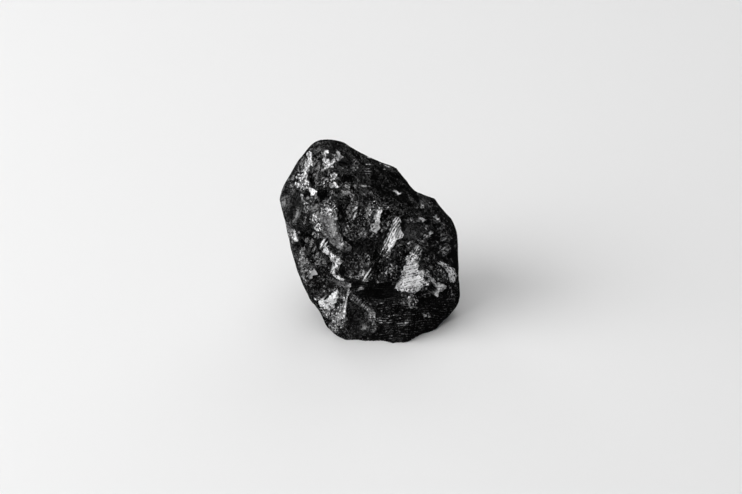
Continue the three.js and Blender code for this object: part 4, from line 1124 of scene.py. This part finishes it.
# Noises: scale, detail, roughness. The scale of grit, patches and swirl is per metre of the stone, and that
# of fibres and splinters per millimetre of the grain.
GRIT_NOISE = (4600.0, 1.0, 0.5)
PATCH_NOISE = (800.0, 3.0, 0.6)
FIBRE_NOISE = (4.5, 3.0, 0.8)
FIBRE_STRETCH = (0.12, 1.0, 0.0)
SWIRL_SCALE, SWIRL_DETAIL = 900.0, 2.0
SWIRL_REACH = (0.5, 0.5, 0.0)   # how far the swirl bends the grain along and across it
COARSE_SPLINTERS = {"Scale": 3.0, "Stretch": 0.4}
FINE_SPLINTERS = {"Scale": 6.5, "Stretch": 0.9}
NOISE_MIDDLE = 0.5
COLOUR_MIDDLE = (0.5, 0.5, 0.5)
RING_WAVES = 22.0        # blow rings: radians per millimetre
RING_UNEVENNESS = 9.0    # how much the fibres bend them

# Even an unbroken face keeps this share of the grain, and a broken one gains the rest.
LEAST_LOOSE, MORE_LOOSE = 0.18, 0.82
# How much each layer of the grain adds to the tone. The sum of the first four is lowered a little. Fibres
# add more on lined facets, and patches keep a share on unbroken faces too.
FINE_TONE, COARSE_TONE, GRIT_TONE = 1.6, 0.15, 2.1
FIBRE_TONE, LINED_FIBRE_TONE = 0.6, 1.6
GRAIN_LOWERED = 0.24
PATCH_TONE, PATCH_LEAST = 0.4, 0.3
# The crease term is painted shade: it darkens the tone along concave creases.
RIDGE_TONE, CREASE_PAINTED_SHADE, RING_TONE = 0.22, -0.35, 0.30
RIDGE_FROM, RIDGE_TO = 0.2, 0.8   # how sharp a ridge or a crease is where its tone sets in, and is full
# How high each layer stands, as a share of the relief's distance in millimetres.
SPLINTER_RELIEF, FIBRE_RELIEF, GRIT_RELIEF, RING_RELIEF = 0.45, 0.06, 0.03, 0.002
RELIEF_DISTANCE = 0.8

FLOOR_COLOUR = (0.80, 0.80, 0.80, 1)
FLOOR_ROUGHNESS, FLOOR_SPECULAR = 0.8, 0.2


class Nodes:
    """Short names for adding and joining a tree's nodes."""

    def __init__(self, tree):
        self.tree = tree

    def add(self, kind, **values):
        node = self.tree.nodes.new(kind)
        for name, value in values.items():
            setattr(node, name, value)
        return node

    def join(self, source, target):
        self.tree.links.new(source, target)

    def feed(self, socket, value):
        """Join another node's socket to this one, or give this one a fixed value."""
        if isinstance(value, bpy.types.NodeSocket):
            self.join(value, socket)
        else:
            socket.default_value = value

    def feed_all(self, node, settings):
        for name, value in settings:
            self.feed(node.inputs[name], value)

    def math(self, operation, *values):
        node = self.add("ShaderNodeMath", operation=operation)
        for socket, value in zip(node.inputs, values):
            self.feed(socket, value)
        return node.outputs[0]

    def vector(self, operation, *values):
        node = self.add("ShaderNodeVectorMath", operation=operation)
        for socket, value in zip(node.inputs, values):
            self.feed(socket, value)
        return node.outputs["Value" if operation == "DOT_PRODUCT" else "Vector"]

    def ramp(self, value, low, high, to_low=0.0, to_high=1.0, smooth=True):
        node = self.add("ShaderNodeMapRange")
        node.interpolation_type = "SMOOTHSTEP" if smooth else "LINEAR"
        self.feed_all(node, (
            ("Value", value), ("From Min", low), ("From Max", high),
            ("To Min", to_low), ("To Max", to_high)))
        return node.outputs["Result"]

    def attribute(self, name, output="Fac"):
        return self.add("ShaderNodeAttribute", attribute_name=name).outputs[output]

    def noise(self, vector, scale, detail, roughness):
        """A noise that swings to either side of 0."""
        node = self.add("ShaderNodeTexNoise")
        self.feed_all(node, (
            ("Vector", vector), ("Scale", scale), ("Detail", detail), ("Roughness", roughness)))
        return self.math("SUBTRACT", node.outputs["Fac"], NOISE_MIDDLE)

    def group(self, group, **values):
        node = self.add("ShaderNodeGroup")
        node.node_tree = group
        self.feed_all(node, values.items())
        return node.outputs


def new_group(name, inputs, outputs):
    tree = bpy.data.node_groups.new(name, "ShaderNodeTree")
    for socket, kind in inputs:
        tree.interface.new_socket(socket, in_out="INPUT", socket_type=kind)
    for socket, kind in outputs:
        tree.interface.new_socket(socket, in_out="OUTPUT", socket_type=kind)
    nodes = Nodes(tree)
    return tree, nodes, nodes.add("NodeGroupInput").outputs, nodes.add("NodeGroupOutput").inputs


def splinters_group():
    """Flat slivers of broken crystal: each cell is a small plane with a tilt and a tone of its own."""
    tree, nodes, given, out = new_group(
        "splinters",
        [("Vector", "NodeSocketVector"), ("Scale", "NodeSocketFloat"), ("Stretch", "NodeSocketFloat")],
        [("Height", "NodeSocketFloat"), ("Tone", "NodeSocketFloat")])
    squeeze = nodes.add("ShaderNodeCombineXYZ")
    nodes.feed_all(squeeze, (("X", given["Stretch"]), ("Y", 1.0)))
    place = nodes.vector("MULTIPLY", given["Vector"], squeeze.outputs[0])
    cells = nodes.add("ShaderNodeTexVoronoi")
    nodes.feed_all(cells, (("Vector", place), ("Scale", given["Scale"])))
    off = nodes.vector("SUBTRACT", place, cells.outputs["Position"])
    tilt = nodes.vector("SUBTRACT", cells.outputs["Color"], COLOUR_MIDDLE)
    nodes.join(nodes.vector("DOT_PRODUCT", off, tilt), out["Height"])
    tone = nodes.add("ShaderNodeSeparateColor")
    nodes.join(cells.outputs["Color"], tone.inputs[0])
    nodes.join(nodes.math("SUBTRACT", tone.outputs[0], NOISE_MIDDLE), out["Tone"])
    return tree


# The layers of the grain. Each is a socket, but coarse and fine splinters have two: Height and Tone.
Grain = namedtuple("Grain", "coarse fine fibres grit patches rings")


def crystal_grain(nodes, place, flow):
    """The layers of the grain, from the place on the stone and the run of its scars and facets."""
    splinters = splinters_group()
    swirl = nodes.add("ShaderNodeTexNoise")
    nodes.feed_all(swirl, (("Vector", place), ("Scale", SWIRL_SCALE), ("Detail", SWIRL_DETAIL)))
    bend = nodes.vector("SUBTRACT", swirl.outputs["Color"], COLOUR_MIDDLE)
    curled = nodes.vector("MULTIPLY_ADD", bend, SWIRL_REACH, flow)
    coarse = nodes.group(splinters, Vector=curled, **COARSE_SPLINTERS)
    fine = nodes.group(splinters, Vector=curled, **FINE_SPLINTERS)
    fibres = nodes.noise(nodes.vector("MULTIPLY", curled, FIBRE_STRETCH), *FIBRE_NOISE)
    grit = nodes.noise(place, *GRIT_NOISE)
    patches = nodes.noise(place, *PATCH_NOISE)
    apart = nodes.add("ShaderNodeSeparateXYZ")
    nodes.join(flow, apart.inputs[0])
    uneven = nodes.math("MULTIPLY", fibres, RING_UNEVENNESS)
    rings = nodes.math("SINE", nodes.math("MULTIPLY_ADD", apart.outputs["Z"], RING_WAVES, uneven))
    return Grain(coarse, fine, fibres, grit, patches, rings)


def crystal_tone(nodes, grain, loose, pale, ridge, lined):
    """The pale field with the grain on it. 1 and more is white, and 0 and less is close to black."""
    coarse_tone = nodes.math("MULTIPLY", grain.coarse["Tone"], COARSE_TONE)
    tones = nodes.math("MULTIPLY_ADD", grain.fine["Tone"], FINE_TONE, coarse_tone)
    fibre_tone = nodes.math("MULTIPLY_ADD", lined, LINED_FIBRE_TONE, FIBRE_TONE)
    tones = nodes.math("MULTIPLY_ADD", grain.fibres, fibre_tone, tones)
    tones = nodes.math("MULTIPLY_ADD", grain.grit, GRIT_TONE, tones)
    level = nodes.math("MULTIPLY_ADD", nodes.math("SUBTRACT", tones, GRAIN_LOWERED), loose, pale)
    patches = nodes.math("MULTIPLY", grain.patches, nodes.math("ADD", loose, PATCH_LEAST))
    level = nodes.math("MULTIPLY_ADD", patches, PATCH_TONE, level)
    level = nodes.math("MULTIPLY_ADD", nodes.ramp(ridge, RIDGE_FROM, RIDGE_TO), RIDGE_TONE, level)
    # painted shade: darker along the creases
    level = nodes.math("MULTIPLY_ADD", nodes.ramp(ridge, -RIDGE_FROM, -RIDGE_TO), CREASE_PAINTED_SHADE, level)
    return nodes.math("MULTIPLY_ADD", nodes.math("MULTIPLY", grain.rings, lined), RING_TONE, level)


def crystal_colour(nodes, level):
    """The tone's colour, on a steep curve from black to white: the white of frost and of the painted
    highlights.
    """
    below = nodes.math("SUBTRACT", nodes.math("MINIMUM", level, 1.0), 1.0)
    shade = nodes.math("EXPONENT", nodes.math("MULTIPLY", below, SHADE_CURVE))
    mix = nodes.add("ShaderNodeMix", data_type="RGBA")
    nodes.feed_all(mix, (("Factor", shade), ("A", BLACK), ("B", FROST_AND_HIGHLIGHT_WHITE)))
    return mix.outputs["Result"]


def crystal_relief(nodes, grain, loose, splinter):
    """The bumps of the slivers, the fibres, the grit and the blow rings."""
    slivers = nodes.math("MULTIPLY", splinter, SPLINTER_RELIEF)
    height = nodes.math("MULTIPLY", grain.coarse["Height"], slivers)
    for layer, relief in ((grain.fine["Height"], SPLINTER_RELIEF), (grain.fibres, FIBRE_RELIEF),
                          (grain.grit, GRIT_RELIEF)):
        height = nodes.math("MULTIPLY_ADD", nodes.math("MULTIPLY", layer, loose), relief, height)
    height = nodes.math("MULTIPLY_ADD", grain.rings, RING_RELIEF, height)
    bump = nodes.add("ShaderNodeBump")
    nodes.feed_all(bump, (("Strength", 1.0), ("Distance", RELIEF_DISTANCE * MM), ("Height", height)))
    return bump.outputs["Normal"]


def new_material(name):
    """A new material, with its tree's nodes and its shader."""
    material = bpy.data.materials.new(name)
    material.use_nodes = True
    return material, Nodes(material.node_tree), material.node_tree.nodes["Principled BSDF"]


def black_crystal():
    material, nodes, shader = new_material("black_crystal")
    place = nodes.add("ShaderNodeTexCoord").outputs["Object"]
    flow = nodes.attribute("flow", "Vector")
    pale = nodes.attribute("pale")
    splinter = nodes.attribute("splinter")
    ridge = nodes.attribute("ridge")
    lined = nodes.attribute("lined")

    grain = crystal_grain(nodes, place, flow)
    loose = nodes.math("MULTIPLY_ADD", splinter, MORE_LOOSE, LEAST_LOOSE)
    level = crystal_tone(nodes, grain, loose, pale, ridge, lined)
    nodes.feed_all(shader, (
        ("IOR", DIAMOND_IOR), ("Specular IOR Level", CRYSTAL_SPECULAR),
        ("Base Color", crystal_colour(nodes, level)),
        ("Roughness", nodes.ramp(level, 0.0, ROUGHEST_TONE, SMOOTHEST, ROUGHEST, smooth=False)),
        ("Normal", crystal_relief(nodes, grain, loose, splinter))))
    return material


def pale_floor():
    material, nodes, shader = new_material("pale_floor")
    nodes.feed_all(shader, (
        ("Base Color", FLOOR_COLOUR), ("Roughness", FLOOR_ROUGHNESS),
        ("Specular IOR Level", FLOOR_SPECULAR)))
    return material


# ---- stage, lights and camera -------------------------------------------------------------------------

LENS, SENSOR, CLIP_START = 100, 36, 1.0   # in millimetres
FLOOR_HALF_WIDTH = 2.0                    # in metres
ROOM_COLOUR = (0.012, 0.012, 0.012, 1)

# Lamps: the direction from the core, the distance and the width and height in metres, the power in watts,
# and whether the lamp itself shows as a reflection.
Lamp = namedtuple("Lamp", "name direction distance size power glossy")
LAMPS = [
    Lamp("key_softbox", (-0.88, -0.15, 0.45), 0.40, (0.30, 0.22), 0.75, True),
    Lamp("key_fill", (-0.80, -0.35, 0.50), 0.60, (0.6, 0.6), 2.8, False),
    Lamp("front_fill", (-0.1, -0.8, 1.0), 0.80, (0.9, 0.9), 1.2, False),
    Lamp("top_strip", (0.3, 0.5, 1.0), 0.50, (0.30, 0.06), 0.12, True),
    Lamp("rear_fill", (0.4, 1.0, 0.45), 0.70, (0.6, 0.6), 1.5, False),
    Lamp("rear_strip", (-0.5, 0.9, 0.5), 0.50, (0.12, 0.30), 0.25, True),
    Lamp("overhead", (0.0, 0.2, 1.0), 0.80, (0.8, 0.8), 2.4, False),
]


def make_floor():
    mesh = bmesh.new()
    bmesh.ops.create_grid(mesh, x_segments=1, y_segments=1, size=FLOOR_HALF_WIDTH)
    floor = add_object("floor", mesh)
    floor.data.materials.append(pale_floor())
    floor.visible_glossy = False


def aim(thing, direction, distance, target):
    """Stand a camera or a lamp off from the target, looking back at it."""
    away = Vector(direction).normalized()
    thing.location = Vector(target) + away * distance
    thing.rotation_euler = away.to_track_quat("Z", "Y").to_euler()


def make_camera():
    camera = link_object("camera", bpy.data.cameras.new("camera"))
    camera.data.lens = LENS
    camera.data.sensor_width = SENSOR
    camera.data.clip_start = CLIP_START * MM
    target = (CORE + ACROSS * VIEW_CENTRE[0] + UP * VIEW_CENTRE[1]) * MM
    aim(camera, OUT, VIEW_DISTANCE * MM, target)
    bpy.context.scene.camera = camera


def make_lamp(lamp):
    light = bpy.data.lights.new(lamp.name, "AREA")
    light.energy = lamp.power
    light.shape = "RECTANGLE"
    light.size, light.size_y = lamp.size
    thing = link_object(lamp.name, light)
    aim(thing, lamp.direction, lamp.distance, CORE * MM)
    thing.visible_glossy = lamp.glossy


def make_room():
    """The dim light from all around, and a plain rendering of the colours."""
    world = bpy.data.worlds.new("dim_room")
    bpy.context.scene.world = world
    world.use_nodes = True
    world.node_tree.nodes["Background"].inputs["Color"].default_value = ROOM_COLOUR
    bpy.context.scene.view_settings.view_transform = "Standard"


make_floor()
make_camera()
for lamp in LAMPS:
    make_lamp(lamp)
make_room()
stone = make_stone()
stone.data.materials.append(black_crystal())
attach(stone, "root")
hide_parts(NODE)
